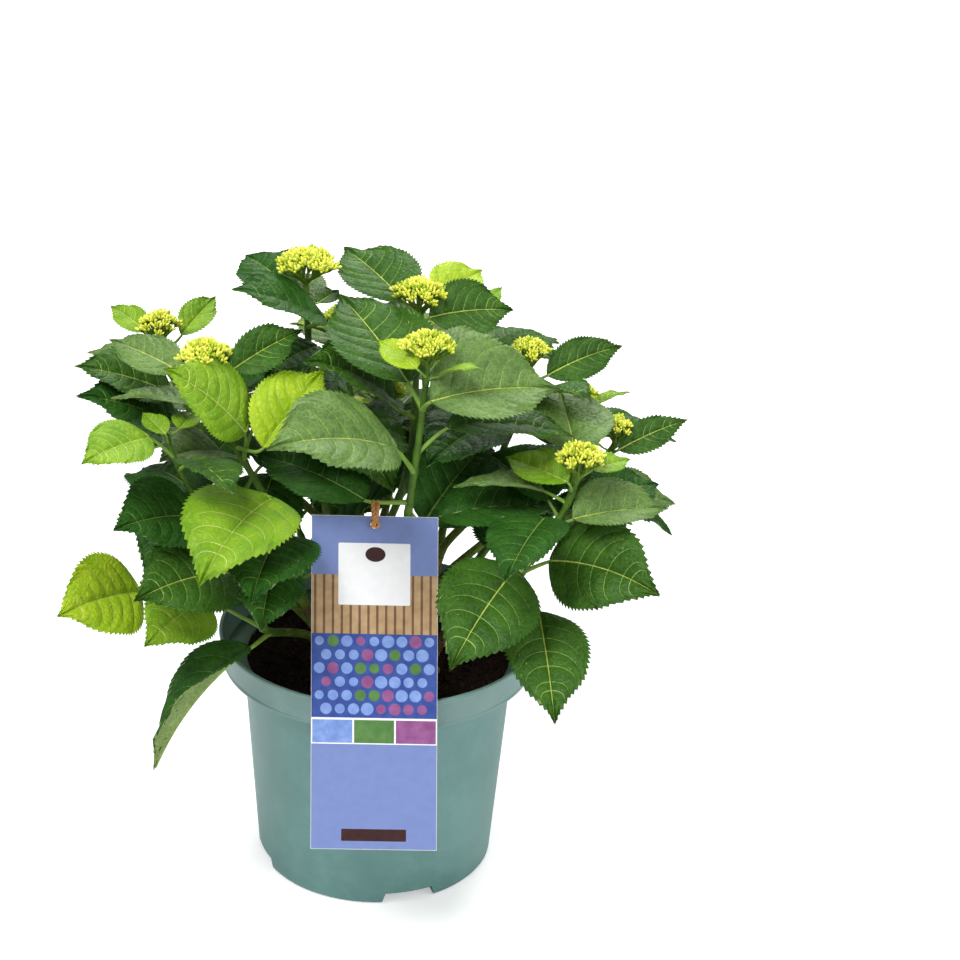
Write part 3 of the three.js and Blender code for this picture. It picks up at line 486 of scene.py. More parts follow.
class Space:
    """Limbs, bud clusters and blades that stand already."""

    def __init__(self):
        self.limbs = []
        self.heads = []
        self.lines = np.zeros((0, 2, 3))
        self.faces = np.zeros((0, 3, 3))

    def add_limb(self, points, radius, owner):
        self.limbs += [(a, b, radius, owner) for a, b in zip(points, points[1:])]

    def near_head(self, leaf, points):
        base = leaf.base
        for centre, radius, owner in self.heads:
            own = owner == leaf.shoot
            if own and leaf.posed:
                continue
            if np.linalg.norm(centre - base) > radius + leaf.long * LEAF_REACH + HEAD_SLACK:
                continue
            away = np.linalg.norm(points - base, axis=1)
            tested = points[away >= OWN_HEAD_FREE] if own else points
            d = (tested - centre) / (radius + HEAD_GAP, radius + HEAD_GAP, HEAD_HALF_HEIGHT)
            if (np.linalg.norm(d, axis=1) < 1).any():
                return True
        return False

    def near_limb(self, leaf, points, faces):
        root, base = leaf.root, leaf.base
        stalk = root + (base - root) * STALK_SAMPLES[:, None]
        away = np.linalg.norm(points - base, axis=1)
        for a, b, radius, owner in self.limbs:
            half = np.linalg.norm(a - b) / 2
            reach = half + max(leaf.long * LEAF_REACH, leaf.stalk) + radius + LIMB_SLACK
            if np.linalg.norm((a + b) / 2 - base) > reach:
                continue
            own = owner == leaf.shoot
            close = line_distance(points, a, b) < radius + LIMB_GAP
            if own:
                close &= away >= OWN_STEM_FREE
                close[:3] = False
            if close.any() or any_meets(limb_lines(a, b, radius + SKIN_GAP), faces):
                return True
            if not own and (line_distance(stalk, a, b) < radius + STALK_GAP).any():
                return True
        return False

    def free(self, leaf):
        """Whether the leaf and its stalk stand clear of all that stands already."""
        points = blade_point(leaf, SAMPLE_ROWS[:, None], SAMPLE_COLUMNS[None, :]).reshape(-1, 3)
        root = leaf.root
        stalk = root + (leaf.base - root) * np.array([[0.25], [0.5], [0.75], [1]])
        solid = np.concatenate([points, stalk[1:]])
        if near_pot(solid).any() or near_card(solid).any():
            return False
        if (np.linalg.norm(points - LOOP_CENTRE, axis=1) < LOOP_HIGH + LOOP_GAP).any():
            return False
        faces = blade_faces(leaf)
        if self.near_head(leaf, points) or self.near_limb(leaf, points, faces):
            return False
        up = np.array([0, 0, STALK_THICK])
        pieces = np.array([(stalk[k], stalk[k + 1]) for k in range(3)])
        lines = np.concatenate([blade_lines(leaf), pieces, pieces + up, pieces - up])
        return not any_meets(lines, self.faces) and not any_meets(self.lines, faces)

    def put(self, leaf):
        root = leaf.root
        stalk = np.array([[between(root, leaf.base, 0.25), leaf.base]])
        self.lines = np.concatenate([self.lines, blade_lines(leaf), stalk])
        self.faces = np.concatenate([self.faces, blade_faces(leaf)])
        self.limbs.append((root, leaf.base, STALK_RADIUS, leaf.shoot))


def seeded(seed):
    """Same chance numbers as the part's source."""
    full = 0xFFFFFFFF
    s = seed & full
    while True:
        s = (s + 0x6D2B79F5) & full
        t = ((s ^ (s >> 15)) * (s | 1)) & full
        t ^= (t + (((t ^ (t >> 7)) * (t | 61)) & full)) & full
        yield ((t ^ (t >> 14)) & full) / 4294967296


# Pieces and radius of each kind of limb, as the clearance tests take them
CANE_TEST = (5, 5)
BOUGH_TEST = (4, 3.2)
STEM_TEST = (8, 2.6)


def standing_limbs():
    space = Space()
    for name in CANES:
        space.add_limb(path_of(cane_point, name, CANE_TEST[0]), CANE_TEST[1], name)
    for name, (_, _, _, head, radius, _) in SHOOTS.items():
        space.add_limb(path_of(bough_point, name, BOUGH_TEST[0]), BOUGH_TEST[1], "bough " + name)
        space.add_limb(path_of(stem_point, name, STEM_TEST[0]), STEM_TEST[1], name)
        if radius:
            space.heads.append((np.array(head, float), radius, name))
    return space


def settle(leaf, tries, space, leaves):
    """Puts the leaf in its first turn that stands clear, and leaves it out where none does."""
    for rise, turn in tries:
        bearing = leaf.bearing if leaf.posed else leaf.bearing + turn
        tried = replace(leaf, bearing=bearing, rise=leaf.rise + rise, heading=leaf.heading + turn)
        if space.free(tried):
            space.put(tried)
            leaves.append(tried)
            return


def pair_leaf(shoot, rung, side, draws):
    """Leaf of a crossed pair, its pose spread by six chance numbers."""
    at, length, rise, tones = RUNGS[rung]
    spread = [draw - 0.5 for draw in draws]
    bearing = SHOOTS[shoot][5] + 90 * (rung % 2) + 180 * side + BEARING_SPREAD * spread[0]
    long = length * (LENGTH_LEAST + LENGTH_SPREAD * draws[1]) * SHORT_LEAVED.get(shoot, 1)
    return Leaf(
        shoot=shoot,
        at=at,
        bearing=bearing,
        lift=PAIR_LIFT + LIFT_SPREAD * spread[2],
        stalk=PAIR_STALK * long,
        heading=bearing + HEADING_SPREAD * spread[3],
        rise=rise + RISE_SPREAD * spread[4],
        bend=PAIR_BEND,
        long=long,
        roll=ROLL_SPREAD * spread[5],
        twist=0,
        fold=PAIR_FOLD,
        tone=tones[side],
        posed=False,
    )


def is_bare(shoot, rung, side):
    return (shoot, rung, side) in BARE or (shoot in SKIRTS and rung >= SKIRT_RUNGS)


def is_taken(leaf, posed):
    """Whether a posed leaf has the place of this one."""
    for other in posed:
        turn = abs((other.bearing - leaf.bearing + 180) % 360 - 180)
        if other.shoot == leaf.shoot and abs(other.at - leaf.at) < SAME_RUNG and turn < SAME_SIDE:
            return True
    return False


def grow_leaves():
    """All leaves: the posed ones first, then the crossed pairs where there is room."""
    space = standing_limbs()
    leaves = []
    posed = [Leaf(*row, posed=True) for row in POSED]
    for leaf in posed:
        settle(leaf, POSE_TRIES, space, leaves)
    chance = seeded(SEED)
    for shoot in SHOOTS:
        for rung, side in product(range(len(RUNGS)), (0, 1)):
            leaf = pair_leaf(shoot, rung, side, [next(chance) for _ in range(6)])
            if not is_bare(shoot, rung, side) and not is_taken(leaf, posed):
                settle(leaf, FREE_TRIES, space, leaves)
    return leaves


# Meshes
def round_turn(steps):
    """Even angles round a circle."""
    return 2 * np.pi * np.arange(steps) / steps


def ring_of(x, y, angles):
    """Directions round each pair of directions x and y that are square to each other."""
    return x[:, None] * np.cos(angles)[None, :, None] + y[:, None] * np.sin(angles)[None, :, None]


def fan(first, sides, middle):
    """Triangles between a ring of points, whose first index is given, and the point in its middle."""
    k = np.arange(sides)
    return np.stack([k * 0 + middle, first + k, first + (k + 1) % sides], axis=-1)


def end_fans(rings, sides, middle):
    """Fans that close the first and the last ring, with their middle points at middle and middle + 1."""
    foot = fan(0, sides, middle)[:, [0, 2, 1]]
    return np.concatenate([foot, fan((rings - 1) * sides, sides, middle + 1)])


def grid_faces(rows, columns, ring=False):
    """Faces between neighbouring rows of points. A ring's last column meets its first."""
    r = np.arange(rows - 1)[:, None]
    c = np.arange(columns if ring else columns - 1)[None]
    a = r * columns + c
    b = r * columns + (c + 1) % columns
    return np.stack([a, b, b + columns, a + columns], axis=-1).reshape(-1, 4)


class Pile:
    """Points, faces and the finish of each face, gathered for one piece."""

    def __init__(self):
        self.points = []
        self.count = 0
        self.faces = {3: [], 4: []}
        self.finish = {3: [], 4: []}

    def add(self, points, *groups):
        """Each group is an array of faces, and one finish for all of them or one each."""
        points = np.asarray(points, float).reshape(-1, 3)
        for faces, finish in groups:
            faces = np.asarray(faces, int)
            if not len(faces):
                continue
            sides = faces.shape[1]
            self.faces[sides].append(faces + self.count)
            self.finish[sides].append(np.broadcast_to(finish, len(faces)))
        self.points.append(points)
        self.count += len(points)

    def mesh(self, name, sharp):
        """One mesh of all that was added, smooth but for edges of more than the given angle."""
        points = np.concatenate(self.points) * MM
        corners, sizes, finish = [], [], []
        for sides in (3, 4):
            if self.faces[sides]:
                faces = np.concatenate(self.faces[sides])
                corners.append(faces.ravel())
                sizes.append(np.full(len(faces), sides))
                finish.append(np.concatenate(self.finish[sides]))
        corners, sizes, finish = (np.concatenate(part) for part in (corners, sizes, finish))
        mesh = bpy.data.meshes.new(name)
        mesh.vertices.add(len(points))
        mesh.vertices.foreach_set("co", points.astype(np.float32).ravel())
        mesh.loops.add(len(corners))
        mesh.loops.foreach_set("vertex_index", corners.astype(np.int32))
        mesh.polygons.add(len(sizes))
        starts = np.concatenate([[0], np.cumsum(sizes)[:-1]])
        mesh.polygons.foreach_set("loop_start", starts.astype(np.int32))
        mesh.polygons.foreach_set("material_index", finish.astype(np.int32))
        mesh.update(calc_edges=True)
        mesh.polygons.foreach_set("use_smooth", np.ones(len(sizes), bool))
        mesh.set_sharp_from_angle(angle=math.radians(sharp))
        return mesh


def show(name, mesh, materials, replaced=()):
    """Puts a mesh on the shrub in its slot, in place of the solids named."""
    piece = bpy.data.objects.new(name, mesh)
    bpy.context.scene.collection.objects.link(piece)
    for material in materials:
        mesh.materials.append(material)
    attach(piece, "root")
    if replaced:
        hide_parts(*replaced)


def tube(pile, points, radii, sides, finish=0, relief=None):
    """Round limb with closed ends. Relief gives the rise of its skin by distance along and angle round."""
    points = np.asarray(points, float)
    count = len(points)
    ahead = unit(np.gradient(points, axis=0))
    along = np.concatenate([[0], np.cumsum(np.linalg.norm(np.diff(points, axis=0), axis=1))])
    guess = np.cross(ahead[0], (0, 1, 0) if abs(ahead[0][1]) < NEARLY_ALONG else (1, 0, 0))
    across = []
    for direction in ahead:
        guess = unit(guess - direction * (guess @ direction))
        across.append(guess)
    across = np.array(across)
    angle = round_turn(sides)
    radius = np.broadcast_to(np.reshape(radii, (-1, 1)), (count, sides))
    if relief:
        radius = radius + relief(along[:, None], angle[None])
    ring = ring_of(across, np.cross(ahead, across), angle)
    skin = (points[:, None] + ring * radius[..., None]).reshape(-1, 3)
    caps = end_fans(count, sides, count * sides)
    points = np.concatenate([skin, points[:1], points[-1:]])
    pile.add(points, (grid_faces(count, sides, ring=True), finish), (caps, finish))


# Leaves: rows run with the side veins, which arch forward from the midrib to the edge
VEIN_SWEEP = 0.46
SWEEP_RISE_POWER = 0.8
SWEEP_FALL_POWER = 0.85
SWEEP_STEPS = 801
VEIN_START = 0.4
SWEEP_FOOT = 0.25
FIRST_VEIN = 0.02
LAST_VEIN = 0.76
TOOTH_DEPTH = 2.4
TOOTH_POWER = 0.7
TOOTH_PEAK = 0.74
TOOTH_MIDDLE = 0.4
TOOTH_LEAN = 0.5
TEETH_FULL_FROM = 0.2
TEETH_FULL_TO = 0.12
FIRST_ROW = 0.005
LAST_ROW = 0.995
BLADE_END = 0.997
VEIN_HALF = 0.32
VEIN_TAPER = 0.6
VEIN_WIDEST = 0.35
MIDRIB_HALF = 0.6
MIDRIB_TAPER = 0.72
MIDRIB_WIDEST = 0.45
RIB_EASE = 0.1
LEAST_HALF = 0.1
EDGE_BASE_POWER = 0.72
EDGE_TIP_POWER = 1.08
EDGE_PEAK = EDGE_BASE_POWER / (EDGE_BASE_POWER + EDGE_TIP_POWER)
EDGE_PEAK_VALUE = EDGE_PEAK**EDGE_BASE_POWER * (1 - EDGE_PEAK) ** EDGE_TIP_POWER
TIP_DRAWN = 0.5
TIP_DRAWN_FROM = 0.66
TIP_DRAWN_OVER = 0.28
TIP_DRAWN_POWER = 1.2
YOUNG_LONG = 40
GROWN_LONG = 78
YOUNG_WIDTH = 0.78

# Leaves seen slimmer than the rest: shoot and place along it, and the share of the usual width
SLIM = {
    ("right_front", 0.02): 0.82,
    ("left_skirt", 0.1): 0.75,
    ("right_back", 0.88): 0.7,
    ("right_far", 0.9): 0.68,
    ("left_back", 0.92): 0.8,
    ("left_front", 0.88): 0.85,
}

# Columns of points from the midrib's side to the edge
COLUMNS = np.array([0, 0.06, 0.15, 0.26, 0.38, 0.5, 0.62, 0.75, 0.88, 1])

# Relief of a leaf of this length
RELIEF_LONG = 100
LEAF_SEED = 11
OUTER_VEINS = (-0.03, 1.03)
PUFF = 2
PUFF_POWER = 0.7
PUFF_TAPER = 0.6
PUCKER = 0.3
PUCKERS = 3.5
PUCKER_SHIFT = 0.37
WAVE = 2.2
WAVES = 1.7
ARCH = 0.2
MIDRIB_SUNK = 0.3
MIDRIB_KEEL = 1.3
KEEL_TAPER = 0.8
CREASE = 0.15
VEIN_KEEL = 0.3
KEEL_END = 14
LEAF_THICK = 0.35
# The grey tone is partly the leaves' own greyer green and partly painted sheen
TONES = ("dark", "mid", "grey", "light", "lime")
VEIN_PALE, VEIN_GREEN, VEIN_DULL, UNDERSIDE = 5, 6, 7, 8

# Side veins and midrib on the face of each tone
VEIN_TONES = {
    "dark": (VEIN_DULL, VEIN_GREEN),
    "mid": (VEIN_GREEN, VEIN_PALE),
    "grey": (VEIN_GREEN, VEIN_PALE),
    "light": (VEIN_PALE, VEIN_PALE),
    "lime": (VEIN_PALE, VEIN_PALE),
}


# Length that a leaf is over, and its teeth on each edge and pairs of side veins
LEAF_COUNTS = ((60, 27, 7), (40, 19, 6), (0, 14, 5))


def leaf_counts(leaf):
    """Teeth on each edge and pairs of side veins."""
    return next((teeth, pairs) for over, teeth, pairs in LEAF_COUNTS if leaf.long > over)


def sweep(s):
    """How far forward of its start on the midrib a row meets the edge."""
    return VEIN_SWEEP * np.minimum(s / SWEEP_FOOT, 1) ** SWEEP_RISE_POWER * (1 - s) ** SWEEP_FALL_POWER


STARTS = np.linspace(0, 1, SWEEP_STEPS)
ENDS = STARTS + sweep(STARTS)


def leaf_rows(leaf):
    """Start on the midrib, tooth height and vein side of each row. Vein side is -1 or 1 beside a vein."""
    teeth, pairs = leaf_counts(leaf)
    veins = np.interp(np.linspace(FIRST_VEIN, LAST_VEIN, pairs), STARTS, ENDS)
    on_vein = {min(teeth - 3, max(1, round(v * teeth - TOOTH_PEAK))) for v in veins}
    rows = [(FIRST_ROW, 0, 0)]
    for j in range(teeth):
        peak = (j + TOOTH_PEAK) / teeth
        rows += [(peak, 1, -1), (peak, 1, 1)] if j in on_vein else [(peak, 1, 0)]
        if j + 1 < teeth:
            rows.append(((j + 1) / teeth, 0, 0))
    rows.append((LAST_ROW, 0, 0))
    rows = np.array(rows)
    rows[:, 0] = np.interp(rows[:, 0], ENDS, STARTS)
    return rows


def edge_width(leaf, t):
    """Half width of the drawn leaf: widest near its middle, slimmer while young, with a drawn-out tip."""
    drawn = 1 - TIP_DRAWN * np.clip((t - TIP_DRAWN_FROM) / TIP_DRAWN_OVER, 0, 1) ** TIP_DRAWN_POWER
    share = np.interp(leaf.long, (YOUNG_LONG, GROWN_LONG), (YOUNG_WIDTH, 1))
    share = share * SLIM.get((leaf.shoot, leaf.at), 1)
    outline = t**EDGE_BASE_POWER * (1 - t) ** EDGE_TIP_POWER / EDGE_PEAK_VALUE
    return share * HALF_WIDTH * leaf.long * outline * drawn


@dataclass
class Blade:
    """Grid of a drawn leaf: its rows run with the side veins, its columns from stalk to tip."""

    start: np.ndarray
    ahead: np.ndarray
    across: np.ndarray
    reach: np.ndarray
    inner: np.ndarray
    vein_side: np.ndarray
    vein_starts: np.ndarray


def leaf_grid(leaf):
    size = leaf.long / RELIEF_LONG
    place, tooth, vein_side = leaf_rows(leaf).T
    half_width = np.maximum(edge_width(leaf, place), LEAST_HALF)
    rib = MIDRIB_HALF * size**0.5 * (1 - MIDRIB_TAPER * place) / half_width
    rib = np.minimum(rib, MIDRIB_WIDEST)[:, None]
    half = rib + (1 - rib) * COLUMNS
    x = np.concatenate([-half[:, ::-1], np.zeros((len(place), 1)), half], axis=1)
    reach = np.abs(x)
    vein_half = np.minimum(VEIN_HALF * size**0.5 / leaf.long, VEIN_WIDEST * np.gradient(place))
    s = place[:, None] + (vein_side * vein_half)[:, None] * (1 - VEIN_TAPER * reach)
    t = s + sweep(s) * (VEIN_START * reach + (1 - VEIN_START) * reach**3)
    ease = np.minimum(np.minimum(1, t[:, :1] / TEETH_FULL_FROM), (1 - t[:, :1]) / TEETH_FULL_TO)
    depth = TOOTH_DEPTH * size**TOOTH_POWER * ease * (tooth[:, None] - TOOTH_MIDDLE)
    t[:, [0, -1]] += depth * TOOTH_LEAN / leaf.long
    t = np.clip(t, 0, BLADE_END)
    x[:, [0, -1]] *= 1 + depth / np.maximum(edge_width(leaf, t[:, [0, -1]]), 0.5)
    inner = np.clip((reach - rib) / RIB_EASE, 0, 1)
    return Blade(s, t, x, reach, inner, vein_side, place[vein_side < 0])


def leaf_relief(blade, width, size, chance):
    """Rise of the face and of the underside: puffed cells, a wave towards the edge, and veins below."""
    s, reach, inner = blade.start, blade.reach, blade.inner
    knots = np.unique(np.concatenate([OUTER_VEINS, blade.vein_starts]))
    cell = np.clip(np.searchsorted(knots, s) - 1, 0, len(knots) - 2)
    phase = np.clip((s - knots[cell]) / (knots[cell + 1] - knots[cell]), 0, 1)
    swell = np.sin(np.pi * phase) ** PUFF_POWER * inner * (1 - PUFF_TAPER * reach)
    pucker = np.sin(np.pi * phase) * np.sin(2 * np.pi * (PUCKERS * reach + PUCKER_SHIFT * cell))
    left, right, _ = chance.uniform(0, 2 * np.pi, 3)
    shift = np.where(blade.across < 0, left, right)
    wave = WAVE * reach**2 * np.sin(2 * np.pi * WAVES * s + shift) * np.sin(np.pi * s)
    arch = ARCH * width / size * (reach - reach**2)
    on_rib = reach < TINY
    face = size * (PUFF * (swell + PUCKER * pucker * inner) + wave + arch - MIDRIB_SUNK * on_rib)
    keel = np.where(on_rib, MIDRIB_KEEL * (1 - KEEL_TAPER * s), CREASE * (1 - inner))
    keel = keel + VEIN_KEEL * np.abs(blade.vein_side)[:, None] * (1 - reach) * inner
    return face, face - LEAF_THICK - size * keel * np.minimum(1, KEEL_END * (1 - s))


def leaf_sheet(leaf, chance):
    """Points of the leaf's face and underside, and which rows of faces are side veins."""
    blade = leaf_grid(leaf)
    width = edge_width(leaf, blade.ahead)
    face, under = leaf_relief(blade, width, leaf.long / RELIEF_LONG, chance)
    across, normal = blade_frame(leaf, blade.ahead)
    fold = math.radians(leaf.fold)
    flat = midrib(leaf, blade.ahead) + across * (width * blade.across * math.cos(fold))[..., None]
    rise = width * blade.reach * math.sin(fold)
    sheets = [flat + normal * (rise + height)[..., None] for height in (face, under)]
    return *sheets, blade.vein_side[:-1] < 0


def add_leaf(pile, leaf, chance):
    """Face, underside and rim of one leaf, with the veins in finishes of their own."""
    face, under, vein_rows = leaf_sheet(leaf, chance)
    rows, columns = face.shape[:2]
    quads = grid_faces(rows, columns)
    tone = TONES.index(leaf.tone)
    top = np.full((rows - 1, columns - 1), tone)
    below = np.full_like(top, UNDERSIDE)
    middle = (columns - 1) // 2
    side_vein, rib = VEIN_TONES[leaf.tone]
    top[vein_rows, 2:-2] = side_vein
    top[:, middle - 1:middle + 1] = rib
    below[vein_rows, 2:-2] = VEIN_GREEN
    below[:, middle - 1:middle + 1] = VEIN_GREEN
    count = rows * columns
    edge = np.concatenate([
        np.arange(columns),
        columns * np.arange(2, rows) - 1,
        count - 1 - np.arange(columns),
        columns * np.arange(rows - 2, 0, -1),
    ])
    ahead = np.roll(edge, -1)
    rim = np.stack([ahead, edge, edge + count, ahead + count], axis=-1)
    points = np.concatenate([face.reshape(-1, 3), under.reshape(-1, 3)])
    pile.add(points, (quads, top.ravel()), (quads[:, ::-1] + count, below.ravel()), (rim, tone))


# Stems and leaf stalks
STEM_FOOT = 2.8
STEM_TOP = 1.9
LEAFY_TOP = 1.3
STEM_STEPS = 44
STEM_SIDES = 12
STEM_SUNK = 1.5
JOINT_SWELL = 0.55
JOINT_HALF = 3
STALK_FOOT = 1.7
STALK_TOP = 1.15
STALK_STEPS = 16
STALK_SIDES = 10
STALK_START = 0.5
STALK_UNDER = 0.5
STALK_IN = 0.012
STALK_LEAVES = 1.1
STALK_COMES = 0.7
STALK_TURN = 0.4
STALK_LONG_LEAF = 90
STALK_POWER = 0.6
STALK_FLARE = 0.7
STALK_FLARE_LONG = 2.5
GREEN_STEM, PALE_STALK = 0, 1


def add_stem(pile, name, leaves):
    """Stem of a shoot, a little thicker where leaves join it."""
    points = path_of(stem_point, name, STEM_STEPS)
    first = points[0] - unit(points[1] - points[0]) * STEM_SUNK
    at = shares(STEM_STEPS)
    length = np.linalg.norm(points[-1] - points[0])
    radius = between(STEM_FOOT, STEM_TOP if SHOOTS[name][4] else LEAFY_TOP, at)
    for place in {leaf.at for leaf in leaves if leaf.shoot == name}:
        radius = radius + JOINT_SWELL * np.exp(-(((at - place) * length / JOINT_HALF) ** 2))
    radius = np.concatenate([radius[:1], radius])
    tube(pile, np.concatenate([[first], points]), radius, STEM_SIDES, GREEN_STEM)


def add_stalk(pile, leaf):
    """Leaf stalk, bowed from the stem into the line of the blade."""
    ahead = aim(leaf.heading, leaf.rise)
    out = aim(leaf.bearing, leaf.lift)
    reach = leaf.stalk
    start = leaf.root + out * STALK_START
    end = leaf.base + ahead * STALK_IN * leaf.long - blade_frame(leaf, 0)[1] * STALK_UNDER
    t = shares(STALK_STEPS)
    last = unit(ahead + STALK_TURN * out)
    points = hermite(start, out * reach * STALK_LEAVES, end, last * reach * STALK_COMES, t)
    size = (leaf.long / STALK_LONG_LEAF) ** STALK_POWER
    flare = STALK_FLARE * size * np.exp(-t * reach / STALK_FLARE_LONG)
    tube(pile, points, between(STALK_FOOT, STALK_TOP, t) * size + flare, STALK_SIDES, PALE_STALK)


# Bud clusters: rays from the top of the stem fork into finer ones, each with a small dome of closed buds.

# Rings of a bud: place along it and share of its girth
BUD_RINGS = ((0, 0.4), (0.42, 0.62), (0.72, 1), (0.92, 0.7))
BUD_SIDES = 6
BUD_LONG = 6.6
BUD_GIRTH = 1
BUD_TURN = 0.5
BUD_FOOT = 0.6
BUD_SPREAD = 0.72
BUD_POWER = 0.4
FIRST_BUD = 0.2
BUDS_EACH = (7, 11)
BUD_SIZES = (0.8, 1.2)
NECK = 17
MAIN_RAYS = 6
MAIN_RAY_SHIFT = 0.3
MAIN_RAY_THICK = (1.45, 1.1)
MAIN_RAY_SIDES = 8
FORK_OUT = 0.3
FORK_RISE = 8
FORK_DEEP = 1.5
FINE_RAY_THICK = (0.85, 0.6)
FINE_RAY_SIDES = 5
RAY_STEPS = 5
FLORETS_LEAST = 9
FLORETS_FOR_RADIUS = 1.15
FLORET_HIGH = 3
FIRST_FLORET = 0.35
FLORET_TURN = 0.15
DOME_TOP = 5.5
DOME_DROP = 8
DOME_WIDE = 0.78
DOME_LEAN = 0.55
DOME_UNEVEN = 1.4
USUAL_RADIUS = 19
BUD, BUD_YOUNG, RAY = 0, 1, 2
GREEN_CLUSTERS = ("back_top", "back_left", "back_right", "right_rear", "back_low")
RIPE_FRONT = 0.65
RIPE_BACK = 0.2
GOLDEN = math.pi * (3 - math.sqrt(5))
ANY_TURN = 6
BUD_SEED = 5

# Ways that rays leave and come to their ends: out and up, shares of the whole way, and up
MAIN_RAY_LEAVES = (2, 9)
MAIN_RAY_COMES = (4, 8)
FINE_RAY_LEAVES = (0.4, 0.4, 0.8)
FINE_RAY_COMES = 5

# A direction that no bud has
NO_BUD_WAY = (0.31, 0.17, 0.93)


def square_to(direction):
    """Two directions square to each of the given ones."""
    x = unit(np.cross(direction, NO_BUD_WAY))
    return x, np.cross(direction, x)


def add_buds(pile, foot, direction, length, girth, finish):
    """Closed club-shaped buds on green feet, one for each foot point. The feet take the rays' darker green,
    which paints the shade in the gaps between the buds.
    """
    x, y = square_to(direction)
    rings = []
    for along, share in BUD_RINGS:
        ring = ring_of(x, y, round_turn(BUD_SIDES) + BUD_TURN * along)
        centre = foot + direction * (along * length)[:, None]
        rings.append(centre[:, None] + ring * (share * girth)[:, None, None])
    tip = (foot + direction * length[:, None])[:, None]
    points = np.concatenate(rings + [tip], axis=1)
    each = points.shape[1]
    start = (np.arange(len(foot)) * each)[:, None, None]
    k = np.arange(BUD_SIDES)
    cone = fan((len(BUD_RINGS) - 1) * BUD_SIDES, BUD_SIDES, each - 1)
    base = np.stack([k[1:-1] * 0, k[2:], k[1:-1]], axis=-1)
    quads = grid_faces(len(BUD_RINGS), BUD_SIDES, ring=True)
    stem = (quads[:BUD_SIDES][None] + start).reshape(-1, 4)
    bud = (quads[BUD_SIDES:][None] + start).reshape(-1, 4)
    caps = (np.concatenate([cone, base])[None] + start).reshape(-1, 3)
    pile.add(points, (stem, RAY), (bud, finish), (caps, finish))


def add_main_rays(pile, neck, radius):
    """Adds the thick rays from the neck of a cluster, and gives the points where they fork."""
    forks = []
    t = shares(RAY_STEPS)
    for k in range(MAIN_RAYS):
        turn = 2 * math.pi * (k + MAIN_RAY_SHIFT) / MAIN_RAYS
        out = np.array([math.cos(turn), math.sin(turn), 0])
        fork = neck + out * radius * FORK_OUT + (0, 0, FORK_RISE)
        leaves = out * MAIN_RAY_LEAVES[0] + (0, 0, MAIN_RAY_LEAVES[1])
        comes = out * MAIN_RAY_COMES[0] + (0, 0, MAIN_RAY_COMES[1])
        path = hermite(neck, leaves, fork, comes, t)
        tube(pile, path, between(*MAIN_RAY_THICK, t), MAIN_RAY_SIDES, RAY)
        forks.append(fork)
    return forks


def add_floret(pile, centre, up, radius, ripe, chance):
    """Small dome of closed buds, of which the given share has turned yellow."""
    count = int(chance.integers(*BUDS_EACH))
    k = np.arange(count)
    spread = BUD_SPREAD * np.sqrt((k + FIRST_BUD) / count)
    turn = k * GOLDEN + chance.uniform(0, ANY_TURN)
    x, y = square_to(up)
    aside = x * np.cos(turn)[:, None] + y * np.sin(turn)[:, None]
    direction = unit(up * np.cos(spread)[:, None] + aside * np.sin(spread)[:, None])
    size = (radius / USUAL_RADIUS) ** BUD_POWER * chance.uniform(*BUD_SIZES, count)
    foot = centre + direction * BUD_FOOT
    young = chance.uniform(size=count) > ripe
    for chosen, finish in ((~young, BUD), (young, BUD_YOUNG)):
        if chosen.any():
            length, girth = BUD_LONG * size[chosen], BUD_GIRTH * size[chosen]
            add_buds(pile, foot[chosen], direction[chosen], length, girth, finish)


def add_cluster(pile, head, radius, ripe, chance):
    """Flat dome of florets on fine rays, each from the nearest fork of the main rays."""
    head = np.array(head, float)
    florets = round(FLORETS_LEAST + radius * FLORETS_FOR_RADIUS)
    forks = add_main_rays(pile, head - (0, 0, NECK), radius)
    t = shares(RAY_STEPS)
    for i in range(florets):
        share = math.sqrt((i + FIRST_FLORET) / florets)
        angle = i * GOLDEN + chance.uniform(-FLORET_TURN, FLORET_TURN)
        flat = np.array([math.cos(angle), math.sin(angle), 0])
        height = DOME_TOP - DOME_DROP * share**2 + chance.uniform(-DOME_UNEVEN, DOME_UNEVEN)
        centre = head + flat * share * radius * DOME_WIDE + (0, 0, height - FLORET_HIGH)
        up = unit(flat * share * DOME_LEAN + (0, 0, 1))
        fork = min(forks, key=lambda point: np.linalg.norm(centre - point))
        start = fork - (0, 0, FORK_DEEP)
        path = hermite(start, (centre - start) * FINE_RAY_LEAVES, centre, up * FINE_RAY_COMES, t)
        tube(pile, path, between(*FINE_RAY_THICK, t), FINE_RAY_SIDES, RAY)
        add_floret(pile, centre, up, radius, ripe, chance)


# Canes and boughs
CANE_FOOT = 4.9
CANE_TOP = 3.5
CANE_FLARE = 1.75
FLARE_HEIGHT = 9
CANE_SUNK = 5
CANE_STEPS = 60
CANE_SIDES = 22
CANE_BARK = 0.26
BOUGH_FOOT = 3.2
BOUGH_TOP = 2.8
BOUGH_FLARE = 0.5
BOUGH_FLARE_FADE = 9
BOUGH_STEPS = 36
BOUGH_SIDES = 16
BOUGH_BARK = 0.16
FIRST_BOUGH_SEED = 40

# Bark: how many waves go round a limb, and how fast they change along it
RIDGES = 5
RIDGE_SWAY = 0.6
RIDGE_SWAY_RATE = 0.11
RIDGE_RATE = 0.19
FINE_RIDGES = 11
FINE_SLANT = 0.05
FINE_RATE = 0.37
RING_RATE = 0.075
RING_SHARP = 9
PORES = 7
PORE_SLANT = 0.9
PORE_RATE = 0.63
PORE_FROM = 0.75
BARK_PARTS = (0.5, 0.3, 1.1, 2.2)


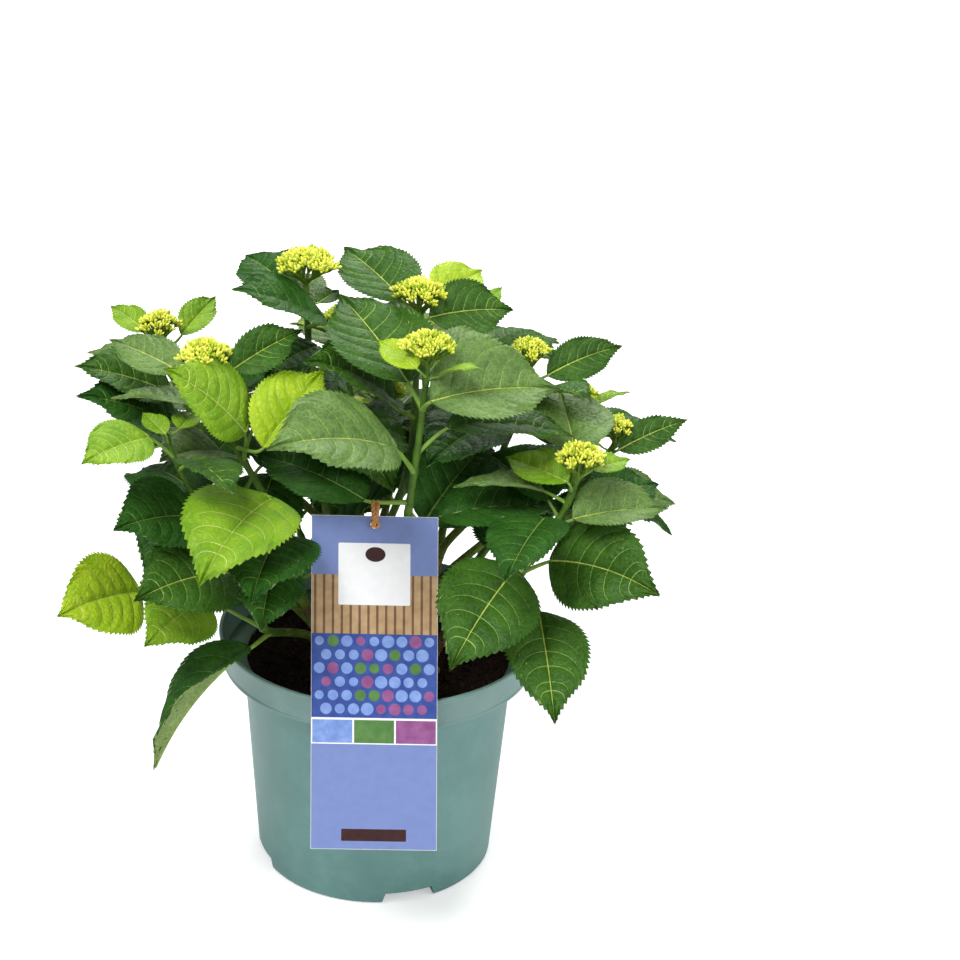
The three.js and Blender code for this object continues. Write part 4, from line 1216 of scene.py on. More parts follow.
def bark(seed, depth):
    """Rise of bark: long uneven ridges, low rings and small raised pores."""
    chance = np.random.default_rng(seed)
    turn = chance.uniform(0, ANY_TURN, 5)

    def rise(along, angle):
        ridges = np.sin(RIDGES * angle + turn[0] + RIDGE_SWAY * np.sin(along * RIDGE_SWAY_RATE))
        ridges = ridges * np.sin(along * RIDGE_RATE + turn[1] + angle)
        fine = np.sin(FINE_RIDGES * angle + turn[2] + FINE_SLANT * along)
        fine = fine * np.sin(along * FINE_RATE + turn[3])
        rings = np.exp(-((np.sin(along * RING_RATE + turn[4]) * RING_SHARP) ** 2))
        pores = np.sin(PORES * angle + along * PORE_SLANT) * np.sin(along * PORE_RATE + 3 * angle)
        pores = np.maximum(0, pores - PORE_FROM)
        of_ridges, of_fine, of_rings, of_pores = BARK_PARTS
        return depth * (of_ridges * ridges + of_fine * fine + of_rings * rings + of_pores * pores)

    return rise


def add_cane(pile, name, seed):
    points = path_of(cane_point, name, CANE_STEPS)
    flare = 1 + (CANE_FLARE - 1) * np.clip(1 - (points[:, 2] - SOIL_TOP) / FLARE_HEIGHT, 0, None) ** 2
    radius = between(CANE_FOOT, CANE_TOP, shares(CANE_STEPS)) * flare
    points = np.concatenate([points[:1] - (0, 0, CANE_SUNK), points])
    radius = np.concatenate([radius[:1], radius])
    tube(pile, points, radius, CANE_SIDES, 0, bark(seed, CANE_BARK))


def add_bough(pile, name, seed):
    at = shares(BOUGH_STEPS)
    radius = between(BOUGH_FOOT, BOUGH_TOP, at) + BOUGH_FLARE * np.exp(-at * BOUGH_FLARE_FADE)
    points = path_of(bough_point, name, BOUGH_STEPS)
    tube(pile, points, radius, BOUGH_SIDES, 0, bark(seed, BOUGH_BARK))


# Pot
POT_SIDES = 192
LEDGE = POT_HEIGHT - COLLAR_HEIGHT
CORNER_CUT = 0.5
CORNER_SHARE = 0.4
COLLAR_SKIN = 1.4
BODY_SKIN = 1.5
NOTCHES = 4
NOTCH_BEYOND = 17
BOX_FACES = [(3, 2, 1, 0), (4, 5, 6, 7), (1, 5, 4, 0), (2, 6, 5, 1), (3, 7, 6, 2), (0, 4, 7, 3)]
POT_CREASE = 40
CUTTER_CREASE = 30
POT_BODY, POT_COLLAR_LIT, POT_INSIDE_SHADED = 0, 1, 2


def lathe(pile, profile, sides, finish):
    """Turns an outline of radius and height about the pot's axis. Its ends are on the axis.

    Finish gives the finish of a band by the radius and height of its middle.
    """
    profile = np.array(profile, float)
    inner = profile[1:-1]
    a = round_turn(sides)
    ring = np.stack([np.cos(a), np.sin(a)], axis=-1)
    points = np.concatenate([
        inner[:, None, :1] * ring[None],
        np.broadcast_to(inner[:, 1, None, None], (len(inner), sides, 1)),
    ], axis=-1).reshape(-1, 3)
    caps = end_fans(len(inner), sides, len(points))
    ends = [(0, 0, profile[0, 1]), (0, 0, profile[-1, 1])]
    middle = (inner[1:] + inner[:-1]) / 2
    bands = np.repeat([finish(*band) for band in middle], sides)
    quads = grid_faces(len(inner), sides, ring=True)
    pile.add(np.concatenate([points, ends]), (quads, bands), (caps, POT_BODY))


def rounded(profile, cut):
    """Cuts each corner of an outline twice, by at most the given length."""
    points = [np.array(p, float) for p in profile]
    out = [points[0]]
    for a, b, c in zip(points, points[1:], points[2:]):
        back, on = a - b, c - b
        before = min(cut, np.linalg.norm(back) * CORNER_SHARE)
        beyond = min(cut, np.linalg.norm(on) * CORNER_SHARE)
        p, q = b + unit(back) * before, b + unit(on) * beyond
        out += [p, p * 0.25 + b * 0.5 + q * 0.25, q]
    return out + [points[-1]]


def pot_mesh():
    inner = BODY_TOP_RADIUS - WALL
    body = [(0, 0), (BASE_RADIUS - 1.6, 0), (BASE_RADIUS, 1.8), (BODY_TOP_RADIUS, LEDGE + 0.2)]
    collar_foot = [
        (COLLAR_FOOT_RADIUS - 1.3, LEDGE + 0.4),
        (COLLAR_FOOT_RADIUS - 1.2, LEDGE - 0.5),
        (COLLAR_FOOT_RADIUS + 0.2, LEDGE - 0.5),
        (COLLAR_FOOT_RADIUS + 0.3, LEDGE + 1.3),
        (COLLAR_FOOT_RADIUS - 0.2, LEDGE + 2),
    ]
    rim = [
        (RIM_RADIUS - 1.1, POT_HEIGHT - 4),
        (RIM_RADIUS, POT_HEIGHT - 3),
        (RIM_RADIUS, POT_HEIGHT - 0.4),
        (RIM_RADIUS - 0.6, POT_HEIGHT),
        (RIM_RADIUS - 2.4, POT_HEIGHT),
    ]
    inside = [
        (COLLAR_FOOT_RADIUS - 2.6, LEDGE + WALL),
        (inner, LEDGE + WALL),
        (BASE_RADIUS - WALL, FLOOR),
        (0, FLOOR),
    ]
    pile = Pile()
    lathe(pile, rounded(body + collar_foot + rim + inside, CORNER_CUT), POT_SIDES, pot_finish)
    return notched(pile.mesh("pot_wall", POT_CREASE))


def pot_finish(radius, height):
    """Body, collar with the rim, or the inside. The collar takes a lighter copy of the pot's plastic as
    painted light, and the inside a darker copy as painted shade.
    """
    if height > LEDGE - 1 and radius > COLLAR_FOOT_RADIUS - COLLAR_SKIN:
        return POT_COLLAR_LIT
    outside = radius > between(BASE_RADIUS, BODY_TOP_RADIUS, height / LEDGE) - BODY_SKIN
    return POT_BODY if outside and height < LEDGE + 1 else POT_INSIDE_SHADED


def notch_cutters():
    """Blocks with slanted sides that cut the drain notches."""
    half = NOTCH_WIDTH / 2
    top = half - NOTCH_SLANT
    outline = ((-half, -1), (half, -1), (top, NOTCH_HEIGHT), (-top, NOTCH_HEIGHT))
    cutters = Pile()
    for k in range(NOTCHES):
        a = math.radians(NOTCH_FIRST + 360 / NOTCHES * k)
        along = np.array([math.sin(a), -math.cos(a), 0])
        across = np.array([math.cos(a), math.sin(a), 0])
        points = []
        for reach in (BASE_RADIUS - NOTCH_DEPTH, BASE_RADIUS + NOTCH_BEYOND):
            points += [along * reach + across * x + np.array([0, 0, z]) for x, z in outline]
        cutters.add(points, (BOX_FACES, 0))
    return cutters.mesh("notch_cutters", CUTTER_CREASE)


def notched(mesh):
    """Cuts the drain notches round the foot."""
    pot = bpy.data.objects.new("pot_body", mesh)
    tool = bpy.data.objects.new("notch_cutters", notch_cutters())
    for shape in (pot, tool):
        bpy.context.scene.collection.objects.link(shape)
    cut = pot.modifiers.new("notches", "BOOLEAN")
    cut.object = tool
    cut.solver = "EXACT"
    cut.use_self = False
    drawn = bpy.data.meshes.new_from_object(pot.evaluated_get(bpy.context.evaluated_depsgraph_get()))
    bpy.data.objects.remove(pot)
    bpy.data.objects.remove(tool)
    drawn.set_sharp_from_angle(angle=math.radians(POT_CREASE))
    return drawn


# Soil
SOIL_SIDES = 176
SOIL_RINGS = 56
SOIL_SIDE_IN = (0.3, 3)
SOIL_SIDE_DOWN = (12, 14)
SOIL_RIM_RISE = 1.5
SOIL_RIM_POWER = 8
SOIL_APART = 0.15
SOIL_BROAD = 1.6
SOIL_SMALL = 0.9
SOIL_FINE = 0.8
SOIL_SUNK = 0.8
SOIL_CREASE = 60
CRUMB_SEED = 7
CRUMBS = 900
CRUMB_SIZE = (0.9, 2.8)
CRUMB_LEAST = (0.7, 0.5, 0.4)
CRUMB_MOST = (1.3, 1, 0.8)
CRUMB_UNEVEN = (0.78, 1.15)
CRUMB_UP = 0.35
CRUMBS_OUT_TO = 0.98
BIG_CRUMBS = 0.08
BIG_CRUMB = 1.5
PALE_CRUMBS = 0.22
PEAT, GRAIN = 0, 1


def soil_edge(z):
    """Radius of the pot's inside at a height."""
    ledge = LEDGE + WALL
    return between(BASE_RADIUS, BODY_TOP_RADIUS, (z - FLOOR) / (ledge - FLOOR)) - WALL - SOIL_APART


def soil_height(x, y):
    """Rise of the peat's surface: broad humps, small ones and crumbs."""
    broad = SOIL_BROAD * np.sin(0.07 * x + 1.3) * np.cos(0.06 * y - 0.4) - SOIL_SUNK
    small = SOIL_SMALL * np.sin(0.33 * x + 0.21 * y) * np.sin(0.29 * y - 0.17 * x + 2)
    fine = SOIL_FINE * np.sin(1.1 * x + 0.7 * y + np.sin(0.5 * y))
    return broad + small + fine * np.sin(0.9 * y - 0.6 * x + np.sin(0.6 * x))


def soil_mesh():
    chance = np.random.default_rng(CRUMB_SEED)
    pile = Pile()
    edge = soil_edge(SOIL_TOP)
    r = np.concatenate([np.linspace(0.5, edge, SOIL_RINGS), edge - np.array(SOIL_SIDE_IN)])
    a = round_turn(SOIL_SIDES)
    x, y = r[:, None] * np.cos(a), r[:, None] * np.sin(a)
    z = SOIL_TOP + soil_height(x, y) + SOIL_RIM_RISE * (r[:, None] / edge) ** SOIL_RIM_POWER
    z[-2:] = SOIL_TOP - np.array(SOIL_SIDE_DOWN)[:, None]
    points = np.stack([x, y, z], axis=-1).reshape(-1, 3)
    caps = end_fans(len(r), SOIL_SIDES, len(points))[:, ::-1]
    ends = [(0, 0, z[0].mean()), (0, 0, z[-1].mean())]
    quads = grid_faces(len(r), SOIL_SIDES, ring=True)[:, ::-1]
    pile.add(np.concatenate([points, ends]), (quads, PEAT), (caps, PEAT))
    for _ in range(CRUMBS):
        reach = edge * math.sqrt(chance.uniform(0, CRUMBS_OUT_TO))
        turn = chance.uniform(0, 2 * math.pi)
        add_crumb(pile, reach * math.cos(turn), reach * math.sin(turn), chance)
    return pile.mesh("soil_surface", SOIL_CREASE)


def add_crumb(pile, x, y, chance):
    """One uneven grain of peat or bark, half sunk."""
    size = chance.uniform(*CRUMB_SIZE) * (BIG_CRUMB if chance.uniform() < BIG_CRUMBS else 1)
    scale = size * chance.uniform(CRUMB_LEAST, CRUMB_MOST)
    points = CRUMB * chance.uniform(*CRUMB_UNEVEN, (len(CRUMB), 1)) * scale
    turn = chance.uniform(0, 2 * math.pi)
    c, s = math.cos(turn), math.sin(turn)
    points = points @ np.array([(c, s, 0), (-s, c, 0), (0, 0, 1)])
    z = SOIL_TOP + float(soil_height(x, y)) + scale[2] * CRUMB_UP
    finish = GRAIN if chance.uniform() < PALE_CRUMBS else PEAT
    pile.add(points + (x, y, z), (CRUMB_FACES, finish))


def crumb_form():
    mesh = bmesh.new()
    bmesh.ops.create_icosphere(mesh, subdivisions=1, radius=1)
    points = np.array([v.co[:] for v in mesh.verts])
    faces = np.array([[v.index for v in f.verts] for f in mesh.faces])
    mesh.free()
    return points, faces


CRUMB, CRUMB_FACES = crumb_form()


# Card and its loop of twine
CARD_X = unit(CARD_SIDE)
CARD_UP = -unit(CARD_DOWN)
CARD_OUT = np.cross(CARD_X, CARD_UP)
CARD_LONG = float(np.linalg.norm(CARD_DOWN))
CARD_MARGIN = 0.3
HOLE_SIDES = 64

# Print on the card, measured down from its top edge. Films lie on each other, each 0.06 thick
FILM = 0.06
FILM_SUNK = 0.02
HOLE_BARE = 0.2
SLATS_TOP = 40
SLATS_FOOT = 84
SLATS = 14
FIRST_SLAT = 1.5
SLAT_APART = 6
SLAT_SLIT = 1.6
DOTS_TOP = 80
DOTS_FOOT = 137
DOT_ROWS = 6
DOT_COLUMNS = 9
FIRST_DOT = 5.2
FIRST_DOT_ROW = 5
DOT_SIDES = 20
DOT_APART = 9.3
DOT_ROW_APART = 9.2
DOT_SIZE = (3, 4.3)
DOT_SEED = 31
DOT_FILM = 5
ODD_ROW_UP = 0.3
SWATCHES_FOOT = 155
SWATCH_EDGE = 0.6
SWATCH_TOP_EDGE = 1.5
SWATCH_FOOT_EDGE = 0.8
PANEL = (-24.6, 24, 18.4, 60.4)
PANEL_CORNER = 1
OVAL = (0.4, 26, 6.8, 5)
BAR = (-22, 22, 212.8, 221)
BAR_CORNER = 0.6
STOCK, LAVENDER, WHITE, SAND, BARK_BROWN, BLUE, PALE_BLUE, LILAC, LEAF_GREEN, BROWN = range(10)


def on_card(points):
    """Places points given across the card, down from its top edge and out from its back."""
    p = np.asarray(points, float)
    return CARD_TOP + p[:, :1] * CARD_X - p[:, 1:2] * CARD_UP + p[:, 2:] * CARD_OUT


def add_plate(pile, outline, low, high, finish):
    """Thin raised plate with a convex outline, given clockwise as seen on the card."""
    outline = np.array(outline, float)
    n = len(outline)
    middle = outline.mean(axis=0)
    rings = [np.column_stack([outline, np.full(n, z)]) for z in (low, high)]
    points = np.concatenate([*rings, [(*middle, low), (*middle, high)]])
    walls = grid_faces(2, n, ring=True)[:, ::-1]
    caps = end_fans(2, n, 2 * n)[:, ::-1]
    pile.add(on_card(points), (walls, finish), (caps, finish))


def box_outline(left, right, top, foot, corner=0):
    """Outline of a rectangle, with round corners where a corner radius is given."""
    if not corner:
        return [(left, top), (right, top), (right, foot), (left, foot)]
    out = []
    for x, y, first in ((right, top, -90), (right, foot, 0), (left, foot, 90), (left, top, 180)):
        cx = x - corner if x == right else x + corner
        cy = y + corner if y == top else y - corner
        for a in np.radians(first + np.arange(0, 91, 18)):
            out.append((cx + corner * math.cos(a), cy + corner * math.sin(a)))
    return out


def round_outline(x, y, wide, high, steps=40):
    a = round_turn(steps)
    return np.column_stack([x + wide * np.cos(a), y + high * np.sin(a)])


def add_holed_sheet(pile, margin, low, high, hole_radius, finish):
    """Rectangle with a round hole: its two sides, its outer edge and the edge of the hole."""
    half = CARD_WIDTH / 2 - margin
    top, foot = margin - HOLE_DROP, CARD_LONG - margin - HOLE_DROP
    steps = HOLE_SIDES
    a = round_turn(steps)
    c, d = np.cos(a), np.sin(a)
    hole = np.column_stack([hole_radius * c, HOLE_DROP + hole_radius * d])
    down = np.where(d < 0, -top, foot)
    scale = np.minimum(half / np.maximum(np.abs(c), TINY), down / np.maximum(np.abs(d), TINY))
    outer = np.column_stack([scale * c, HOLE_DROP + scale * d])
    for x in (-half, half):
        for y in (top, foot):
            corner = np.array([x, y + HOLE_DROP])
            outer[np.argmin(np.linalg.norm(outer - corner, axis=1))] = corner
    layers = ((hole, low), (outer, low), (outer, high), (hole, high))
    points = np.concatenate([np.column_stack([ring, np.full(steps, z)]) for ring, z in layers])
    quads = grid_faces(5, steps, ring=True) % (4 * steps)
    pile.add(on_card(points), (quads, finish))


def add_area(pile, area, layer, finish, corner=0):
    """Printed field, given by its left, right, top and foot, and by the number of its film."""
    add_plate(pile, box_outline(*area, corner), CARD_THICK - FILM_SUNK, CARD_THICK + FILM * layer, finish)


def add_dots(pile, edge):
    """Field of plain dots in uneven sizes, every other row shifted by half a dot."""
    chance = np.random.default_rng(DOT_SEED)
    for row in range(DOT_ROWS):
        odd = row % 2
        for column in range(DOT_COLUMNS - odd):
            x = -edge + FIRST_DOT + DOT_APART * (column + 0.5 * odd)
            y = DOTS_TOP + FIRST_DOT_ROW + row * DOT_ROW_APART
            finish = (PALE_BLUE, LILAC, PALE_BLUE, LEAF_GREEN)[int(chance.integers(4))]
            size = chance.uniform(*DOT_SIZE)
            outline = round_outline(x, y, size, size, DOT_SIDES)
            add_plate(pile, outline, CARD_THICK, CARD_THICK + FILM * (DOT_FILM + ODD_ROW_UP * odd), finish)


def add_print(pile):
    """Plain generic areas in the place of the printing, each a film on the one below it."""
    edge = CARD_WIDTH / 2 - CARD_MARGIN
    film = (CARD_THICK - FILM_SUNK, CARD_THICK + FILM)
    add_holed_sheet(pile, CARD_MARGIN, *film, HOLE_RADIUS + HOLE_BARE, LAVENDER)
    add_area(pile, (-edge, edge, SLATS_TOP, DOTS_FOOT), 2, SAND)
    for k in range(SLATS):
        left = -edge + FIRST_SLAT + SLAT_APART * k
        add_area(pile, (left, left + SLAT_SLIT, SLATS_TOP, SLATS_FOOT), 3, BARK_BROWN)
    add_area(pile, (-edge, edge, DOTS_TOP, DOTS_FOOT), 4, BLUE)
    add_dots(pile, edge)
    add_area(pile, PANEL, 5, WHITE, PANEL_CORNER)
    add_plate(pile, round_outline(*OVAL), CARD_THICK, CARD_THICK + FILM * 6, BROWN)
    add_area(pile, (-edge, edge, DOTS_FOOT, SWATCHES_FOOT), 2, WHITE)
    third = 2 * edge / 3
    for k, finish in enumerate((PALE_BLUE, LEAF_GREEN, LILAC)):
        left = -edge + third * k + SWATCH_EDGE
        right = -edge + third * (k + 1) - SWATCH_EDGE
        area = (left, right, DOTS_FOOT + SWATCH_TOP_EDGE, SWATCHES_FOOT - SWATCH_FOOT_EDGE)
        add_area(pile, area, 3, finish)
    add_area(pile, BAR, 2, BROWN, BAR_CORNER)


# Loop of twine
TWINE_HIGH = 6.6
TWINE_APART = 1.5
TWINE_CLOSE = 0.45
TWINE_STEPS = 132
TWINE_TWISTS = 7
TWINE_LAY = 0.8
TWINE_STRAND = 0.95
KNOT_STEPS = 120
KNOT_STRAND = 1.05
KNOT_WIDE = 2
KNOT_HIGH = 1.9
KNOT_OUT = 1.6
KNOT_DEEP = 1.2
KNOT_SHIFT = 0.6
KNOT_UNEVEN = 0.4
STRAND_SIDES = 8


def add_strand(pile, path, thick):
    """Round strand along a closed path."""
    ahead = unit(np.roll(path, -1, axis=0) - np.roll(path, 1, axis=0))
    x = unit(np.cross(ahead, (1.0, 0.2, 0)))
    ring = ring_of(x, np.cross(ahead, x), round_turn(STRAND_SIDES))
    points = (path[:, None] + thick * ring).reshape(-1, 3)
    pile.add(points, (grid_faces(len(path) + 1, STRAND_SIDES, ring=True) % len(points), 0))


def add_twine(pile):
    """The twine goes twice through the hole, each turn of two strands, and is knotted there."""
    a = round_turn(TWINE_STEPS)
    tilt = math.radians(LOOP_LEAN)
    down = np.array([0, math.cos(tilt), math.sin(tilt)])
    rise = np.array([0, -math.sin(tilt), math.cos(tilt)])
    out = unit(TWINE_HIGH * np.cos(a)[:, None] * down + LOOP_DEEP * np.sin(a)[:, None] * rise)
    square = np.array([1.0, 0, 0])
    centre = LOOP_CENTRE - (LOOP_HIGH - TWINE_HIGH) * rise
    for side in (-1, 1):
        part = TWINE_APART * (TWINE_CLOSE + (1 - TWINE_CLOSE) * (1 + np.sin(a)) / 2)
        path = centre + LOOP_DEEP * np.cos(a)[:, None] * down + TWINE_HIGH * np.sin(a)[:, None] * rise
        path = path + (side * part)[:, None] * square
        for strand in (0, math.pi):
            turn = (side * TWINE_TWISTS * a + strand)[:, None]
            add_strand(pile, path + TWINE_LAY * (np.cos(turn) * out + np.sin(turn) * square), TWINE_STRAND)
    add_knot(pile)


def add_knot(pile):
    """Small wound knot in front of the hole."""
    a = round_turn(KNOT_STEPS)
    x = KNOT_WIDE * np.cos(2 * a) + KNOT_UNEVEN * np.cos(5 * a)
    y = HOLE_DROP + KNOT_HIGH * np.sin(3 * a)
    z = CARD_THICK + KNOT_OUT + KNOT_DEEP * np.cos(3 * a + KNOT_SHIFT)
    add_strand(pile, on_card(np.column_stack([x, y, z])), KNOT_STRAND)


# Shared effects of the finishes
FLOAT, COLOUR = "NodeSocketFloat", "NodeSocketColor"


def group(name, inputs, outputs):
    """Empty node group with named sockets, its input node and its output node."""
    tree = bpy.data.node_groups.new(name, "ShaderNodeTree")
    for label, kind, value in inputs:
        socket = tree.interface.new_socket(label, in_out="INPUT", socket_type=kind)
        socket.default_value = value
    for label, kind in outputs:
        tree.interface.new_socket(label, in_out="OUTPUT", socket_type=kind)
    return tree, tree.nodes.new("NodeGroupInput"), tree.nodes.new("NodeGroupOutput")


def node(tree, kind, settings=(), **values):
    """New node with its settings, and with values in its inputs."""
    made = tree.nodes.new(kind)
    for label, value in dict(settings).items():
        setattr(made, label, value)
    for label, value in values.items():
        made.inputs[label.replace("_", " ")].default_value = value
    return made


def noise_of(tree, place, scale, detail, roughness=0.55):
    made = node(tree, "ShaderNodeTexNoise", Detail=detail, Roughness=roughness)
    tree.links.new(place.outputs["Object"], made.inputs["Vector"])
    tree.links.new(scale, made.inputs["Scale"])
    return made.outputs["Fac"]


def stretch(tree, source, old, new=(0, 1), settings=()):
    """Value carried over from between the two old ends to between the two new ones."""
    made = node(tree, "ShaderNodeMapRange", settings)
    for label, value in zip(("From Min", "From Max", "To Min", "To Max"), (*old, *new)):
        made.inputs[label].default_value = value
    tree.links.new(source, made.inputs["Value"])
    return made.outputs["Result"]


def combined(tree, operation, first, second):
    made = node(tree, "ShaderNodeMath", {"operation": operation})
    tree.links.new(first, made.inputs[0])
    tree.links.new(second, made.inputs[1])
    return made.outputs[0]


def blend(tree, mask, first, second):
    """Colour that goes from first to second with the mask."""
    made = node(tree, "ShaderNodeMix", {"data_type": "RGBA"})
    tree.links.new(mask, made.inputs["Factor"])
    for value, socket in ((first, made.inputs["A"]), (second, made.inputs["B"])):
        if isinstance(value, tuple):
            socket.default_value = value
        else:
            tree.links.new(value, socket)
    return made.outputs["Result"]


def mottle_group():
    """Uneven tint between a light and a deep colour."""
    tree, inside, outside = group(
        "uneven_tint",
        [("Light", COLOUR, (0.5, 0.5, 0.5, 1)), ("Deep", COLOUR, (0.3, 0.3, 0.3, 1)), ("Scale", FLOAT, 40)],
        [("Colour", COLOUR), ("Mask", FLOAT)],
    )
    place = tree.nodes.new("ShaderNodeTexCoord")
    mask = stretch(tree, noise_of(tree, place, inside.outputs["Scale"], 4), (0.32, 0.68))
    colour = blend(tree, mask, inside.outputs["Deep"], inside.outputs["Light"])
    tree.links.new(colour, outside.inputs["Colour"])
    tree.links.new(mask, outside.inputs["Mask"])
    return tree


def net_group():
    """Fine net of small veins or pores: cells with bent edges, raised between the thin lines of the net."""
    results = [("Height", FLOAT), ("Line", FLOAT)]
    tree, inside, outside = group("fine_net", [("Scale", FLOAT, 300)], results)
    place = tree.nodes.new("ShaderNodeTexCoord")
    bent = node(tree, "ShaderNodeTexNoise", Scale=330, Detail=2)
    tree.links.new(place.outputs["Object"], bent.inputs["Vector"])
    shift = node(tree, "ShaderNodeVectorMath", {"operation": "SCALE"}, Scale=0.0035)
    tree.links.new(bent.outputs["Color"], shift.inputs[0])
    moved = node(tree, "ShaderNodeVectorMath", {"operation": "ADD"})
    tree.links.new(place.outputs["Object"], moved.inputs[0])
    tree.links.new(shift.outputs["Vector"], moved.inputs[1])
    cells = node(tree, "ShaderNodeTexVoronoi", {"feature": "DISTANCE_TO_EDGE"})
    tree.links.new(moved.outputs["Vector"], cells.inputs["Vector"])
    tree.links.new(inside.outputs["Scale"], cells.inputs["Scale"])
    tree.links.new(stretch(tree, cells.outputs["Distance"], (0, 0.4)), outside.inputs["Height"])
    tree.links.new(stretch(tree, cells.outputs["Distance"], (0.12, 0.02)), outside.inputs["Line"])
    return tree


def fleck_group():
    """Small scattered flecks."""
    tree, inside, outside = group(
        "flecks", [("Scale", FLOAT, 600), ("Amount", FLOAT, 0.2)], [("Mask", FLOAT)]
    )
    place = tree.nodes.new("ShaderNodeTexCoord")
    cells = node(tree, "ShaderNodeTexVoronoi", {"feature": "F1"})
    tree.links.new(place.outputs["Object"], cells.inputs["Vector"])
    tree.links.new(inside.outputs["Scale"], cells.inputs["Scale"])
    near = combined(tree, "LESS_THAN", cells.outputs["Distance"], inside.outputs["Amount"])
    tree.links.new(near, outside.inputs["Mask"])
    return tree


def dust_group():
    """Dust and dried splashes in uneven patches."""
    tree, inside, outside = group(
        "dust", [("Scale", FLOAT, 30), ("Amount", FLOAT, 0.3)], [("Mask", FLOAT)]
    )
    place = tree.nodes.new("ShaderNodeTexCoord")
    patches = stretch(tree, noise_of(tree, place, inside.outputs["Scale"], 6, 0.7), (0.42, 0.8))
    tree.links.new(combined(tree, "MULTIPLY", patches, inside.outputs["Amount"]), outside.inputs["Mask"])
    return tree


UNEVEN_TINT = mottle_group()
FINE_NET = net_group()
FLECKS = fleck_group()
DUST = dust_group()


def shade(red, green, blue):
    """Linear colour of a screen colour, 0 to 255."""
    def linear(v):
        v /= 255
        return v / 12.92 if v <= 0.04045 else ((v + 0.055) / 1.055) ** 2.4
    return (linear(red), linear(green), linear(blue), 1)


def new_finish(name, roughness, gloss, sheen=0):
    """New material with its tree and its surface node."""
    made = bpy.data.materials.new(name)
    made.use_nodes = True
    tree = made.node_tree
    surface = tree.nodes["Principled BSDF"]
    surface.inputs["Roughness"].default_value = roughness
    surface.inputs["Specular IOR Level"].default_value = gloss
    if sheen:
        surface.inputs["Sheen Weight"].default_value = sheen
    return made, tree, surface


def use(tree, effect, **values):
    """Shared effect placed in a finish with its own values."""
    made = tree.nodes.new("ShaderNodeGroup")
    made.node_tree = effect
    for label, value in values.items():
        made.inputs[label].default_value = value
    return made


def tinted(tree, light, deep, scale):
    return use(tree, UNEVEN_TINT, Light=shade(*light), Deep=shade(*deep), Scale=scale)


def colour_by(tree, surface, colour):
    tree.links.new(colour, surface.inputs["Base Color"])


def raise_by(tree, surface, height, depth, strength):
    """Fine relief of the given depth in metres."""
    bump = node(tree, "ShaderNodeBump", Strength=strength, Distance=depth)
    tree.links.new(height, bump.inputs["Height"])
    tree.links.new(bump.outputs["Normal"], surface.inputs["Normal"])


# Colour of the fine net on a leaf, as a share of the leaf's own: pale lines, or darker lines that paint the
# shade in the grooves
PALE_NET = (1.42, 1.28, 1.32, 1)
GROOVE_SHADE = (0.84, 0.88, 0.8, 1)


def leaf_finish(name, light, deep, roughness, gloss, net_shade=PALE_NET, net=240, depth=0.0005):
    made, tree, surface = new_finish(name, roughness, gloss)
    tint = tinted(tree, light, deep, 55)
    mesh = use(tree, FINE_NET, Scale=net)
    vein = node(tree, "ShaderNodeMix", {"data_type": "RGBA", "blend_type": "MULTIPLY"})
    vein.inputs["B"].default_value = net_shade
    tree.links.new(mesh.outputs["Line"], vein.inputs["Factor"])
    tree.links.new(tint.outputs["Colour"], vein.inputs["A"])
    colour_by(tree, surface, vein.outputs["Result"])
    raise_by(tree, surface, mesh.outputs["Height"], depth, 0.8)
    return made


def stem_finish(name, light, deep, fleck, amount, roughness=0.55):
    made, tree, surface = new_finish(name, roughness, 0.35)
    tint = tinted(tree, light, deep, 90)
    flecks = use(tree, FLECKS, Scale=420, Amount=amount)
    colour = blend(tree, flecks.outputs["Mask"], tint.outputs["Colour"], shade(*fleck))
    colour_by(tree, surface, colour)
    raise_by(tree, surface, use(tree, FINE_NET, Scale=900).outputs["Height"], 0.0002, 0.7)
    return made


CLEAN_ROUGHNESS = 0.36
DUSTY_ROUGHNESS = 0.8


def plastic_finish(name, light, deep, dust_colour, dust_amount):
    made, tree, surface = new_finish(name, 0.42, 0.45)
    tint = tinted(tree, light, deep, 14)
    dust = use(tree, DUST, Scale=60, Amount=dust_amount)
    colour = blend(tree, dust.outputs["Mask"], tint.outputs["Colour"], shade(*dust_colour))
    colour_by(tree, surface, colour)
    rough = stretch(tree, dust.outputs["Mask"], (0, 1), (CLEAN_ROUGHNESS, DUSTY_ROUGHNESS))
    tree.links.new(rough, surface.inputs["Roughness"])
    raise_by(tree, surface, use(tree, FINE_NET, Scale=1400).outputs["Height"], 0.00008, 0.5)
    return made


def soil_finish(name, light, deep):
    made, tree, surface = new_finish(name, 0.95, 0.15)
    tint = tinted(tree, light, deep, 420)
    colour_by(tree, surface, tint.outputs["Colour"])
    raise_by(tree, surface, tint.outputs["Mask"], 0.0012, 1)
    return made


def print_finish(name, light, deep):
    made, tree, surface = new_finish(name, 0.35, 0.45)
    tint = tinted(tree, light, deep, 160)
    colour_by(tree, surface, tint.outputs["Colour"])
    raise_by(tree, surface, use(tree, FINE_NET, Scale=1800).outputs["Height"], 0.00003, 0.4)
    return made


def twine_finish():
    made, tree, surface = new_finish("twine_fibre", 0.85, 0.2, sheen=0.2)
    tint = tinted(tree, (214, 160, 92), (170, 108, 52), 900)
    colour_by(tree, surface, tint.outputs["Colour"])
    raise_by(tree, surface, tint.outputs["Mask"], 0.0002, 1)
    return made


